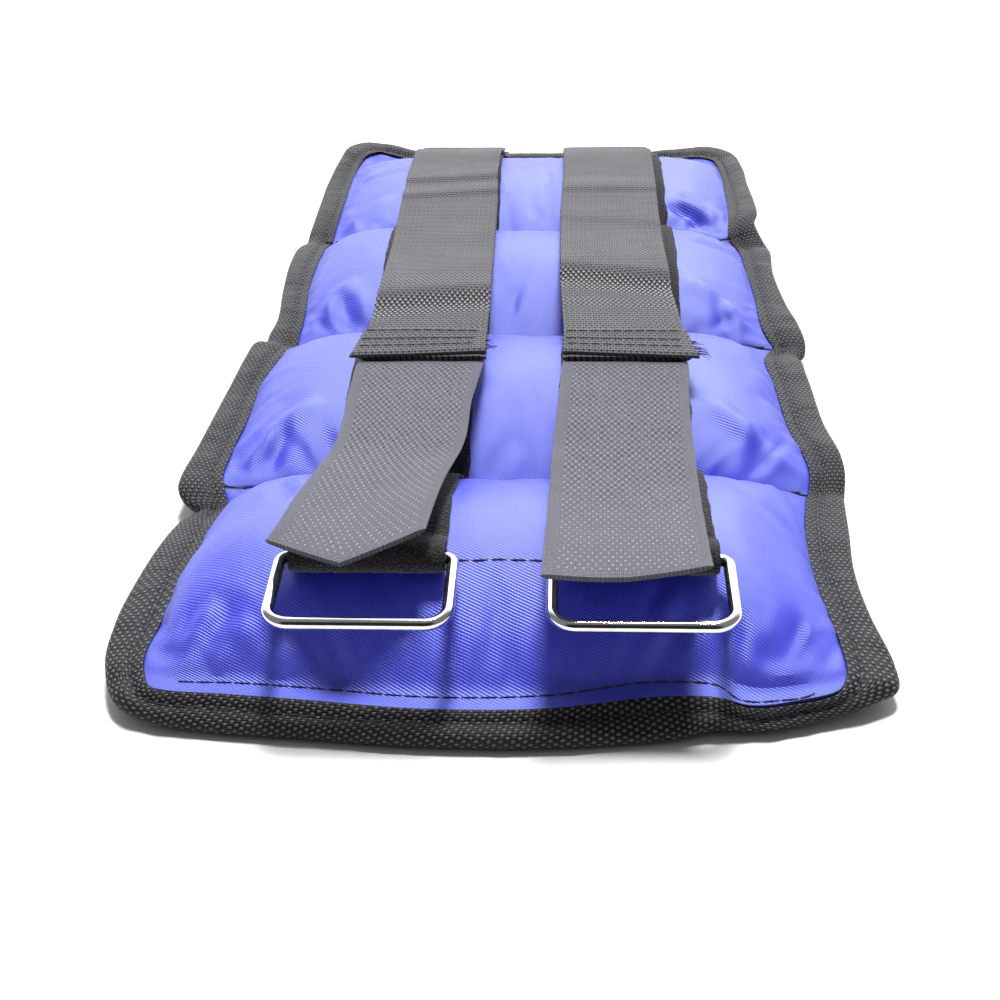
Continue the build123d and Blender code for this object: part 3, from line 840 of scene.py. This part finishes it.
stitch_height = leaf_height(np.full_like(leaf_width, STITCH_FROM_LIP)) + 0.1
stitch_line = lip_middle + leaf * STITCH_FROM_LIP + face_up * stitch_height
for name, (rows, pockets_named, seam) in spans.items():
    along_start = float(ease_line[rows[0]])
    piece = thick_sheet(f"binding_{name}", band[rows], TAPE_THICK, flip=True, along_start=along_start)
    piece.data.materials.append(binding_tape)
    follow(piece, pockets_named, seam)
    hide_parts(*[f"binding_{n}" for n in pockets_named])
    row = stitches(f"binding_stitches_{name}", stitch_line[rows], face_up[rows], 3.4, 0.6, 0.2, -0.2)
    follow(row, pockets_named, seam)
    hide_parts(*[f"binding_stitch_{n}" for n in pockets_named])


# ==== Closing stitches ====
# The near edge of pocket 1 is stitched shut just outside its sand bag, and the thread gathers the cloth.
trees = []
for outer in outer_pieces.values():
    trees.append(BVHTree.FromPolygons(
        [v.co.copy() for v in outer.data.vertices], [tuple(p.vertices) for p in outer.data.polygons]
    ))


def top_of_cloth(x, y):
    """Height of the outer cloth at a place, and its normal."""
    best = None
    for tree in trees:
        hit, normal, _, _ = tree.ray_cast(Vector((x * MM, y * MM, 0.08)), Vector((0, 0, -1)))
        if hit is not None and (best is None or hit.z / MM > best[0]):
            best = (hit.z / MM, np.array(normal))
    return best or (SEAM_Z, np.array([0, 0, 1.0]))


CLOSING_FROM_LIP = NEAR_FLANGE - 0.8
CLOSING_ENDS = (-78, 74)
closing_line = lip_line[near_right:] - CLOSING_FROM_LIP * outward[near_right:]
closing_line = closing_line[(closing_line[:, 0] > CLOSING_ENDS[0]) & (closing_line[:, 0] < CLOSING_ENDS[1])]
found = [top_of_cloth(x, y) for x, y, _ in closing_line]
closing_line[:, 2] = [z + 0.1 for z, _ in found]
closing = stitches(
    "closing_stitches", closing_line, np.array([normal for _, normal in found]), 4.4, 0.15, 0.2, -0.5
)
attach(closing, "pocket_1")
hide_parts("closing_stitch_front")


# ==== Loop tape and ring keepers ====
# Black 38 mm loop tape is sewn over the pockets under each strap. At the near end it passes through its ring,
# folds back under itself and is stitched down, which keeps the ring.
LOOP_WIDTH = 38.0
LOOP_THICK = 1.7
LOOP_WANDER_Y = [-170, -140, -60, 0, 100, 195]
LOOP_WANDER = {"left": [-33, -33, -31.5, -31, -31.5, -33], "right": [33, 32.5, 32, 34.3, 34.8, 34]}
LOOP_STEP = 0.9
loop_tape, start = new_material("loop_tape")
across, along, cut = flat_place(start)
curls = start.node("ShaderNodeTexVoronoi", {"feature": "DISTANCE_TO_EDGE"}, {"Vector": cut, "Scale": 1100.0})
strands = lumps(start, cut, 0.0008, 3.0)
patches = lumps(start, cut, 0.012)
height = curls.between(0.0, 0.35) * 0.6 + strands * 0.6
# The tape is painted darker between its loops, as shade.
shade = (height * 0.8 + patches * 0.3 - 0.2).between(0.1, 1.0)
finish_material(
    start, shade.mix((0.002, 0.002, 0.003), (0.040, 0.041, 0.048)),
    0.8 + 0.15 * strands, height, 0.0006, Sheen_Weight=0.22, Sheen_Roughness=0.5,
)
cloth_ys = np.arange(-158.0, 192.5, LOOP_STEP)


def keeper_run(cloth_z):
    """The tape's outer face from its tucked end, round the ring's bar, to where it meets the cloth."""
    route = [
        (-161.5, 27.9), (-164.5, 26.6), (-168, 26.3), (-170.7, 27.5), (-171.9, 30.2), (-170.7, 32.9),
        (-168, 34.0), (-164.5, 33.6), (-161, 32.2), (-158, cloth_z),
    ]
    line, _ = smooth_line([(0, y, z) for y, z in route], LOOP_STEP)
    return line[:-1, 1:]


for side, sign in (("left", -1), ("right", 1)):
    offsets = np.linspace(-LOOP_WIDTH / 2, LOOP_WIDTH / 2, 41)
    centres = np.interp(cloth_ys, LOOP_WANDER_Y, LOOP_WANDER[side])
    surface = np.array([[top_of_cloth(c + o, y)[0] for o in offsets] for y, c in zip(cloth_ys, centres)])
    padded = np.pad(surface, ((4, 4), (6, 6)), mode="edge")
    eased = np.zeros_like(surface)
    shifts = [(down, over) for down in range(9) for over in range(0, 13, 3)]
    for down, over in shifts:
        eased += padded[down:down + surface.shape[0], over:over + surface.shape[1]] / len(shifts)
    eased = np.maximum(eased, surface) * 0.6 + eased * 0.4
    eased = np.maximum(eased, surface + 0.05) + LOOP_THICK
    run_yz = keeper_run(float(eased[0].mean()))
    grid = []
    for y, z in run_yz:
        grid.append([(centres[0] + o, y, z) for o in offsets])
    for y, c, heights in zip(cloth_ys, centres, eased):
        grid.append([(c + o, y, z) for o, z in zip(offsets, heights)])
    grid = np.array(grid)
    travel = np.concatenate([[0], np.cumsum(np.linalg.norm(np.diff(grid, axis=0), axis=2).mean(axis=1))])
    wave = np.array([noise.noise(Vector((t / 9, sign * 2.0, 1.0))) for t in travel])
    grid[:, :, 0] += 0.7 * wave[:, None]
    normal = np.cross(np.gradient(grid, axis=1), np.gradient(grid, axis=0))
    normal /= np.linalg.norm(normal, axis=2, keepdims=True)
    nap = np.array([[noise.noise(Vector((x / 0.9, t / 0.9, sign * 4.0))) for x in offsets] for t in travel])
    grid += normal * 0.28 * nap[:, :, None]
    parts = [("near", None), ("12", "12"), ("23", "23"), ("34", "34"), ("far", None)]
    crown_rows = [len(run_yz) + int(np.argmin(np.abs(cloth_ys - y))) for y in crown_y]
    cut_rows = [0] + crown_rows + [len(grid) - 1]
    for (part, seam), first, last in zip(parts, cut_rows[:-1], cut_rows[1:]):
        rows = grid[first:last + 1]
        piece = thick_sheet(f"loop_tape_{side}_{part}", rows, LOOP_THICK, along_start=float(travel[first]))
        piece.data.materials.append(loop_tape)
        pockets_named = {"near": "1", "far": "4"}.get(part, part)
        follow(piece, pockets_named, seam)
        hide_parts(*[f"loop_tape_{side}_{n}" for n in pockets_named])

# Stitches across both keepers, and across the cloth between them.
KEEPER_STITCH_Y = -158.5
PANEL_STITCH_Y = -164.0
for name, x0, x1 in (("keeper_stitches_left", -51.5, -14.5), ("keeper_stitches_right", 14.5, 51.5)):
    xs = np.linspace(x0, x1, 40)
    tops = [top_of_cloth(x, KEEPER_STITCH_Y)[0] for x in xs]
    line = np.array([(x, KEEPER_STITCH_Y, z + LOOP_THICK + 0.25) for x, z in zip(xs, tops)])
    row = stitches(name, line, np.tile([0.0, -0.25, 1.0], (40, 1)), 2.8, 1.2, 0.3)
    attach(row, "pocket_1")
    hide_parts("keeper_stitch")
xs = np.linspace(-13, 13, 40)
line = np.array([(x, PANEL_STITCH_Y, top_of_cloth(x, PANEL_STITCH_Y)[0] + 0.1) for x in xs])
row = stitches("panel_stitches", line, np.tile([0.0, -0.35, 1.0], (40, 1)), 4.2, 0.5, 0.2, -0.2)
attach(row, "pocket_1")
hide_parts("keeper_stitch")


# ==== Rings ====
# Rectangular rings of 3 mm steel wire, bent, butted and chromed.
ring_wire, start = new_material("ring_wire")
place = object_place(start)
smear = lumps(start, place, 0.004, 3.0)
fine = lumps(start, place, 0.0006, 2.0)
colour = smear.between(0.3, 0.8).mix((0.86, 0.86, 0.87), (0.68, 0.66, 0.65))
finish_material(start, colour, 0.07 + 0.06 * smear, fine, 0.000001, Metallic=1.0)
for side in ("left", "right"):
    dress(f"ring_{side}", ring_wire)


# ==== Straps ====
# Grey 38 mm polypropylene webbing, woven with an open face. Each strap is sewn down at the far edge, turns
# over its sewn end and lies back over the cuff's outer face to its hem.
WEBBING = 1.5
STRAP_WIDTH = 38.0
STRAP_TOP = 34.45
STRAP_STEP = 1.2             # from one row of the strap's points to the next
HEM_Y = -64.5
# Where the weave opens as the strap bends, with painted shade in it and painted highlights on its floats:
# distance from the hem at its left and right edge, half-width and how much.
OPEN_BANDS = {
    "left": [
        (35, 43, 8.5, 0.85), (54, 60, 6, 0.3), (170, 177, 3.5, 0.5), (198, 204, 3.5, 0.5),
        (225, 229, 3.0, 0.5),
    ],
    "right": [(64, 52, 8.5, 1.0), (44, 40, 5.0, 0.5), (84, 84, 6.0, 0.35), (180, 180, 4.5, 0.5)],
}


def lattice_of_dots(start, across, along, pitch_across, pitch_along):
    """Staggered dots: 1 in their middles and -1 in the middles of the gaps. Pitches are in metres."""
    columns = start.math("COSINE", across * (2 * math.pi / pitch_across))
    return columns * start.math("COSINE", along * (2 * math.pi / pitch_along))


def webbing_finish(name, bands):
    """Ribbed open webbing: dark holes between the ribs, and bright floats with wide holes in its bands. The
    ribs' grooves and the opened weave are painted darker as shade, and the floats' brightness is a painted
    highlight.
    """
    material, start = new_material(name)
    across, along, cut = flat_place(start)
    lattice = lattice_of_dots(start, across, along, 0.00173, 0.0032)
    ribs, _ = plain_weave(across, along, 0.00087, 0.0016)
    patches = lumps(start, cut, 0.015)
    yarn = lumps(start, cut, 0.0008, 1.0)
    opened = patches.between(0.45, 0.8) * 0.25
    for at_left, at_right, half_width, strength in bands:
        middle = across * ((at_right - at_left) / STRAP_WIDTH) + at_left * MM
        away = (along - middle) / (half_width * MM)
        opened = opened.most((1 - away * away).between(0.0, 0.7) * strength)
    holes = lattice.between(0.25, 0.9) * (0.75 + 0.25 * opened)
    lit_floats = (0 - lattice).between(0.1, 0.8) * opened
    height = ribs * 0.4 + (1 - holes) * 0.6
    # Painted shade in the ribs' grooves and where the weave opens.
    shade = (ribs * 0.5 + 0.5) * (1 - holes * 0.95) * (1 - opened * 0.7) + yarn * 0.3 - 0.14
    colour = shade.between(0.0, 1.0).mix((0.002, 0.002, 0.003), (0.115, 0.115, 0.128))
    colour = (patches.between(0.4, 0.75) * 0.15).mix(colour, (0.08, 0.08, 0.09))
    # The floats are painted with a highlight.
    colour = lit_floats.mix(colour, (0.48, 0.48, 0.51))
    finish_material(
        start, colour, 0.5 + 0.2 * patches, height, 0.0008, Sheen_Weight=0.05, Specular_IOR_Level=0.3
    )
    return material


webbing = {side: webbing_finish(f"webbing_{side}", bands) for side, bands in OPEN_BANDS.items()}


def webbing_route(side):
    """The strap's upper face from its hem, over the crowns, to where it turns over the sewn end: Y and Z."""
    # It comes down over the far crown on an arc with this middle and radius, over this length of Y.
    centre_y, centre_z, radius, arc_length = 145.5, -54.9, 80.35, 42.8
    crown_3_y, crown_3_z = 48.5, 30.45
    ys = np.arange(HEM_Y, centre_y, STRAP_STEP)
    heights = np.interp(ys, [-40, crown_3_y, centre_y], [STRAP_TOP, crown_3_z, centre_z + radius])
    route = list(zip(ys, heights))
    for angle in np.linspace(0.0, math.asin(arc_length / radius), 38):
        route.append((centre_y + radius * math.sin(angle), centre_z + radius * math.cos(angle)))
    route += [(194.0, 12.95), (197.0, 13.0), (199.0, 12.6), (199.8, 11.7)]
    route = np.array(route)
    middle = -31.0 if side == "left" else 31.0
    for row in range(len(route) - 4):
        under = max(top_of_cloth(middle + x, route[row, 0])[0] for x in (-16, -8, 0, 8, 16))
        route[row, 1] = max(route[row, 1], under + LOOP_THICK + WEBBING + 0.15)
    eased = np.convolve(np.pad(route[:, 1], 4, mode="edge"), np.ones(9) / 9, mode="valid")
    route[:-8, 1] = eased[:-8]
    return route


STRAP_COLUMNS = 44
strap_share = np.linspace(0, 1, STRAP_COLUMNS + 1)
# Where the strap's two edges run: Y, left X, right X.
STRAP_EDGES = {
    "left": [
        (-66, -47.2, -9.3), (-49, -46.8, -9.6), (-12, -46.2, -10.0), (32, -47.4, -10.9), (87, -49.0, -12.2),
        (124, -50.0, -13.8), (200, -50.5, -13.8),
    ],
    "right": [
        (-66, 13.8, 51.4), (-45, 13.8, 50.6), (-10, 12.7, 48.6), (20, 12.2, 48.2), (68, 12.0, 48.4),
        (124, 12.8, 49.2), (200, 12.6, 49.6),
    ],
}
# Steps where the strap drops towards its hem: Y at its left and right edge, drop, run, and run-out behind.
STRAP_STEPS = {
    "left": [(-31, -24, 2.8, 13, 55), (86, 93, 1.1, 6, 14), (108, 113, 1.0, 6, 18)],
    "right": [(-4, -12, 2.9, 14, 50), (96, 96, 0.9, 6, 20), (60, 52, 0.5, 8, 20)],
}


def lay_strap(side, route, seed):
    """A strap's upper face over a route of Y and Z, with its steps, slight waves and scalloped selvedge."""
    travel = np.concatenate([[0], np.cumsum(np.linalg.norm(np.diff(route, axis=0), axis=1))])
    edge_y, left_x, right_x = np.array(STRAP_EDGES[side]).T
    grid = np.zeros((len(route), STRAP_COLUMNS + 1, 3))
    for row, ((y, z), t) in enumerate(zip(route, travel)):
        scallop = 0.2 * math.cos(2 * math.pi * t / 3.2)
        left = np.interp(y, edge_y, left_x) - scallop
        right = np.interp(y, edge_y, right_x) + scallop
        heights = np.full(STRAP_COLUMNS + 1, z)
        for step_left, step_right, drop, run, run_out in STRAP_STEPS[side]:
            past = y - (step_left + (step_right - step_left) * strap_share)
            heights += drop * smooth_step(past / run) * (1 - smooth_step((past - run) / run_out))
        wave = [0.3 * noise.noise(Vector((t / 17, s * 1.3, seed + 5.0))) for s in strap_share]
        grid[row, :, 0] = left + (right - left) * strap_share
        grid[row, :, 1] = y
        grid[row, :, 2] = heights + np.array(wave)
    return grid


# The folded end of the webbing is stitched over the hook tape with three rows of thread.
HEM_BACK = 18.0
HEM_THICK = 1.2
HEM_STITCHES = (4.8, 9.6, 15.6)         # how far back from the hem's edge each row is
TURNED_ROWS = 2                         # rows of points that round the hem's folded edge
FRAYED = {"left": 9, "right": 22}       # loose threads at the end of each hem
FRAY_RADIUS = 0.16
draws = random.Random(5)


def frayed_end(side, rows):
    """Loose threads that stand out of the right end of a hem: four-sided, bent and tapered."""
    points = []
    faces = []
    for strand in range(FRAYED[side]):
        root = rows[TURNED_ROWS + strand % 9, -1] + np.array([-0.5, 0.0, -0.3 - 0.25 * (strand % 3)])
        reach = draws.uniform(1.5, 4.5)
        swing, lift = draws.uniform(-0.7, 0.7), draws.uniform(-0.25, 0.35)
        for step, share in enumerate((0, 0.35, 0.7, 1.0)):
            centre = root + reach * np.array([share, swing * share**2, lift * share - 0.3 * share**2])
            for angle in np.arange(4) * math.pi / 2:
                thin = FRAY_RADIUS * (1 - 0.6 * share)
                points.append(centre + thin * np.array([0, math.cos(angle), math.sin(angle)]))
            if step:
                first = len(points) - 8
                for corner in range(4):
                    beside = (corner + 1) % 4
                    faces.append([first + corner, first + beside, first + 4 + beside, first + 4 + corner])
        faces.append([len(points) - 4 + corner for corner in range(4)])
        faces.append([len(points) - 16 + corner for corner in reversed(range(4))])
    return new_piece(f"loose_threads_{side}", points, faces)


for side, sign in (("left", -1), ("right", 1)):
    grid = lay_strap(side, webbing_route(side), sign * 3.0)
    strap = thick_sheet(f"strap_webbing_{side}", grid, WEBBING)
    strap.data.materials.append(webbing[side])
    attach(strap, f"strap_{side}")
    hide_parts(f"strap_webbing_{side}")
    rows = grid[:int(HEM_BACK / STRAP_STEP)].copy()
    rows[:, :, 2] += 1.3
    skew = 3.0 * (strap_share if side == "left" else 1 - strap_share)
    rows[:, :, 1] += skew * np.linspace(1, 0, len(rows))[:, None]
    turn = rows[0] + np.array([0, -1.0, -0.35])
    turn_low = rows[0] + np.array([0, -1.3, -1.3])
    rows = np.vstack([turn_low[None], turn[None], rows])
    middle = rows[:, :, 0].mean(axis=1, keepdims=True)
    outer_half = strap_share if side == "right" else 1 - strap_share
    spread = 1.0 + 0.13 * smooth_step((outer_half - 0.75) / 0.25) * np.linspace(1, 0.2, len(rows))[:, None]
    rows[:, :, 0] = middle + (rows[:, :, 0] - middle) * spread
    hem = thick_sheet(f"strap_hem_{side}", rows, HEM_THICK)
    hem.data.materials.append(webbing[side])
    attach(hem, f"strap_{side}")
    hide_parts(f"strap_webbing_{side}")
    for count, back in enumerate(HEM_STITCHES):
        line = rows[TURNED_ROWS + round(back / STRAP_STEP), 1:-1] + np.array([0, 0, 0.05])
        upward = np.tile([0.0, 0.0, 1.0], (len(line), 1))
        row = stitches(f"hem_stitches_{side}_{count + 1}", line, upward, 3.4, 0.05, 0.22, -0.6)
        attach(row, f"strap_{side}")
        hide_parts(f"hem_stitch_{side}")
    loose_ends = frayed_end(side, rows)
    loose_ends.data.materials.append(thread)
    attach(loose_ends, f"strap_{side}")
    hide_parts(f"strap_webbing_{side}")
    sewn_low, sewn_high = (np.array(corner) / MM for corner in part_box(f"strap_sewn_end_{side}"))
    ys = np.linspace(sewn_low[1], sewn_high[1], 8)
    xs = np.linspace(sewn_low[0], sewn_high[0], 30)
    sewn = np.array([[(x, y, sewn_high[2]) for x in xs] for y in ys])
    end = thick_sheet(f"strap_sewn_end_cloth_{side}", sewn, sewn_high[2] - sewn_low[2])
    end.data.materials.append(webbing[side])
    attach(end, "pocket_4")
    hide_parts(f"strap_sewn_end_{side}")
    dress(f"anchor_stitch_{side}", thread)


# ==== Hook tape ====
# Grey 38 mm hook tape, sewn under the strap's hem with its hooks down. It lies over the loop tape and its
# free end lifts over the ring. The left end is cut askew.
HOOK_THICK = 1.2
hook_tape, start = new_material("hook_tape")
across, along, cut = flat_place(start)
lattice = lattice_of_dots(start, across, along, 0.00184, 0.0033)
ribs, _ = plain_weave(across, along, 0.00046, 0.00055)
patches = lumps(start, cut, 0.012)
yarn = lumps(start, cut, 0.0006, 2.0)
speckle = lumps(start, cut, 0.0011, 1.0)
from_middle = (across - STRAP_WIDTH / 2 * MM).size()
middle_of_tape = 1 - from_middle.between(0.0150, 0.0165)
inner = middle_of_tape * along.between(0.0012, 0.0030)
dots = lattice.between(0.45, 1.0) * (0.35 + 0.65 * speckle.between(0.4, 0.6)) * inner
pits = (0 - lattice).between(0.3, 0.9) * speckle.between(0.4, 0.6) * along.between(0.02, 0.07) * inner
height = ribs * 0.4 + dots * 0.7 - pits * 0.4
# Painted shade: darker in the weave's grooves and nearly black in the pits.
shade = ribs * 0.30 + yarn * 0.45 - 0.1 - pits * 0.6
colour = shade.between(0.0, 1.0).mix((0.045, 0.045, 0.060), (0.42, 0.42, 0.52))
colour = (dots * 0.8).mix(colour, (0.52, 0.52, 0.60))
colour = pits.mix(colour, (0.006, 0.006, 0.010))
finish_material(
    start, colour, 0.5 + 0.2 * patches, height, 0.00045, Sheen_Weight=0.1, Specular_IOR_Level=0.3
)

# Each row: Y at the middle, X of its left and right edges, height at left, middle and right, and how far
# beyond the middle's Y the left and right edges lie.
RIGHT_HOOK = [
    (-57, 13.6, 50.4, 32.8, 32.8, 32.8, 0, 0),
    (-63.5, 13.6, 50.5, 32.8, 32.8, 32.8, 0, 0),
    (-69, 13.5, 50.6, 34.0, 34.0, 34.0, 0, 0),
    (-85, 12.8, 49.6, 34.4, 34.4, 34.4, 0, 0),
    (-104, 12.0, 48.9, 34.4, 34.6, 34.4, 0, 0),
    (-118, 11.4, 48.7, 34.4, 34.5, 34.6, 0, 0),
    (-126, 11.1, 48.6, 34.9, 34.7, 34.9, 0, 0),
    (-147, 10.6, 48.4, 36.0, 35.8, 36.2, 0, 0),
    (-168, 10.2, 48.3, 38.5, 38.0, 38.6, 0, 0),
    (-181, 9.8, 48.3, 40.0, 39.3, 40.2, 0, 0),
    (-190, 9.5, 48.3, 40.6, 39.7, 41.3, -0.5, 3.0),
]
LEFT_HOOK = [
    (-57, -47.0, -9.8, 32.8, 32.8, 32.8, 0, 0),
    (-63.5, -47.1, -9.8, 32.8, 32.8, 32.8, 0, 0),
    (-69, -47.3, -9.9, 34.0, 34.0, 34.0, 0, 0),
    (-80, -47.3, -10.8, 34.4, 34.4, 34.4, 0, 0),
    (-92, -47.3, -11.8, 34.4, 34.6, 34.4, 0, 0),
    (-112, -46.8, -12.0, 34.4, 34.5, 34.8, 0, 0),
    (-124, -48.0, -12.8, 34.8, 34.9, 35.6, 0, 2),
    (-136, -50.2, -14.0, 35.8, 35.9, 37.4, 0, 4),
    (-152, -53.0, -15.8, 36.8, 37.2, 39.6, 1, 6),
    (-168, -55.0, -17.0, 37.6, 38.2, 41.2, 3, 8),
    (-183, -56.4, -18.0, 37.8, 38.4, 42.0, 11, 10),
]


def lay_hook(rows, seed):
    """The hook tape's upper face from its hem to its free end."""
    line, _ = smooth_line(rows, 0.9)
    line = line[::-1]
    grid = np.zeros((len(line), STRAP_COLUMNS + 1, 3))
    share = strap_share[None, :]
    left, right = line[:, 1][:, None], line[:, 2][:, None]
    low, middle, high = (line[:, k][:, None] for k in (3, 4, 5))
    grid[:, :, 0] = left + (right - left) * share
    bend = 4 * share * (1 - share)
    grid[:, :, 2] = low + (high - low) * share + (middle - (low + high) / 2) * bend
    left_beyond, right_beyond = line[:, 6][:, None], line[:, 7][:, None]
    beyond = np.where(share < 0.5, (1 - 2 * share) * left_beyond, (2 * share - 1) * right_beyond)
    grid[:, :, 1] = line[:, 0][:, None] + beyond
    for row in range(len(line)):
        for column in range(STRAP_COLUMNS + 1):
            x, y, _ = grid[row, column]
            grid[row, column, 2] += 0.22 * noise.noise(Vector((x / 16, y / 13, seed)))
    return grid


for side, rows, seed in (("left", LEFT_HOOK, 2.0), ("right", RIGHT_HOOK, 6.0)):
    hook = thick_sheet(f"hook_tape_{side}_cloth", lay_hook(rows, seed), HOOK_THICK)
    hook.data.materials.append(hook_tape)
    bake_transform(hook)
    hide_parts(f"hook_tape_{side}")


# ==== Table, light and camera ====
# The cuff lies on a white table in a white room, with wide soft lamps above and behind it.
TABLE_HALF = 9000
corners = [(x * TABLE_HALF, y * TABLE_HALF, 0) for x, y in ((-1, -1), (1, -1), (1, 1), (-1, 1))]
floor = new_piece("table", corners, [[0, 1, 2, 3]])
white, start = new_material("white_table")
place = object_place(start)
faint = lumps(start, place, 0.3)
finish_material(start, faint.mix((0.86, 0.86, 0.865), (0.88, 0.88, 0.885)), 0.75 + 0.05 * faint)
floor.data.materials.append(white)


sun = bpy.data.lights.new("far_lamps", "SUN")
sun.energy = 3.9
sun.angle = math.radians(12)
far_lamps = bpy.data.objects.new("far_lamps", sun)
bpy.context.collection.objects.link(far_lamps)
far_lamps.rotation_euler = Vector((-0.05, -0.36, -0.93)).to_track_quat("-Z", "Y").to_euler()
world = bpy.data.worlds.new("studio")
bpy.context.scene.world = world
world.use_nodes = True
sky = world.node_tree.nodes["Background"]
sky.inputs[0].default_value = (1, 1, 1, 1)
start = Socket(world.node_tree)
towards = start.node("ShaderNodeTexCoord", None, None, 0)
far_way = start.node("ShaderNodeSeparateXYZ", None, {0: towards}, 1)
brightness = far_way.between(0.3, 0.95) * 2.7 + 0.22
shaded = start.node("ShaderNodeVectorMath", {"operation": "DOT_PRODUCT"}, {0: towards, 1: (0, -0.9, 0.42)}, 1)
brightness = brightness * (1 - 0.9 * shaded.between(0.72, 0.9))
world.node_tree.links.new(brightness.source, sky.inputs[1])
bpy.context.scene.view_settings.view_transform = "Standard"

lens = bpy.data.cameras.new("camera")
lens.sensor_width = 36
lens.lens = 55.8
lens.clip_start = 0.02
camera = bpy.data.objects.new("camera", lens)
bpy.context.collection.objects.link(camera)
pitch, yaw, roll = math.radians(30.77), math.radians(2.93), math.radians(-1.13)
ahead = Vector((-math.sin(yaw) * math.cos(pitch), math.cos(yaw) * math.cos(pitch), -math.sin(pitch)))
level = Vector((math.cos(yaw), math.sin(yaw), 0))
upright = level.cross(ahead)
picture_right = math.cos(roll) * level + math.sin(roll) * upright
picture_up = math.cos(roll) * upright - math.sin(roll) * level
stand = camera.matrix_world.copy()
for axis, direction in enumerate((picture_right, picture_up, -ahead)):
    for row in range(3):
        stand[row][axis] = direction[row]
stand.translation = Vector((15.5, -481.1, 233.2)) * MM
camera.matrix_world = stand
bpy.context.scene.camera = camera
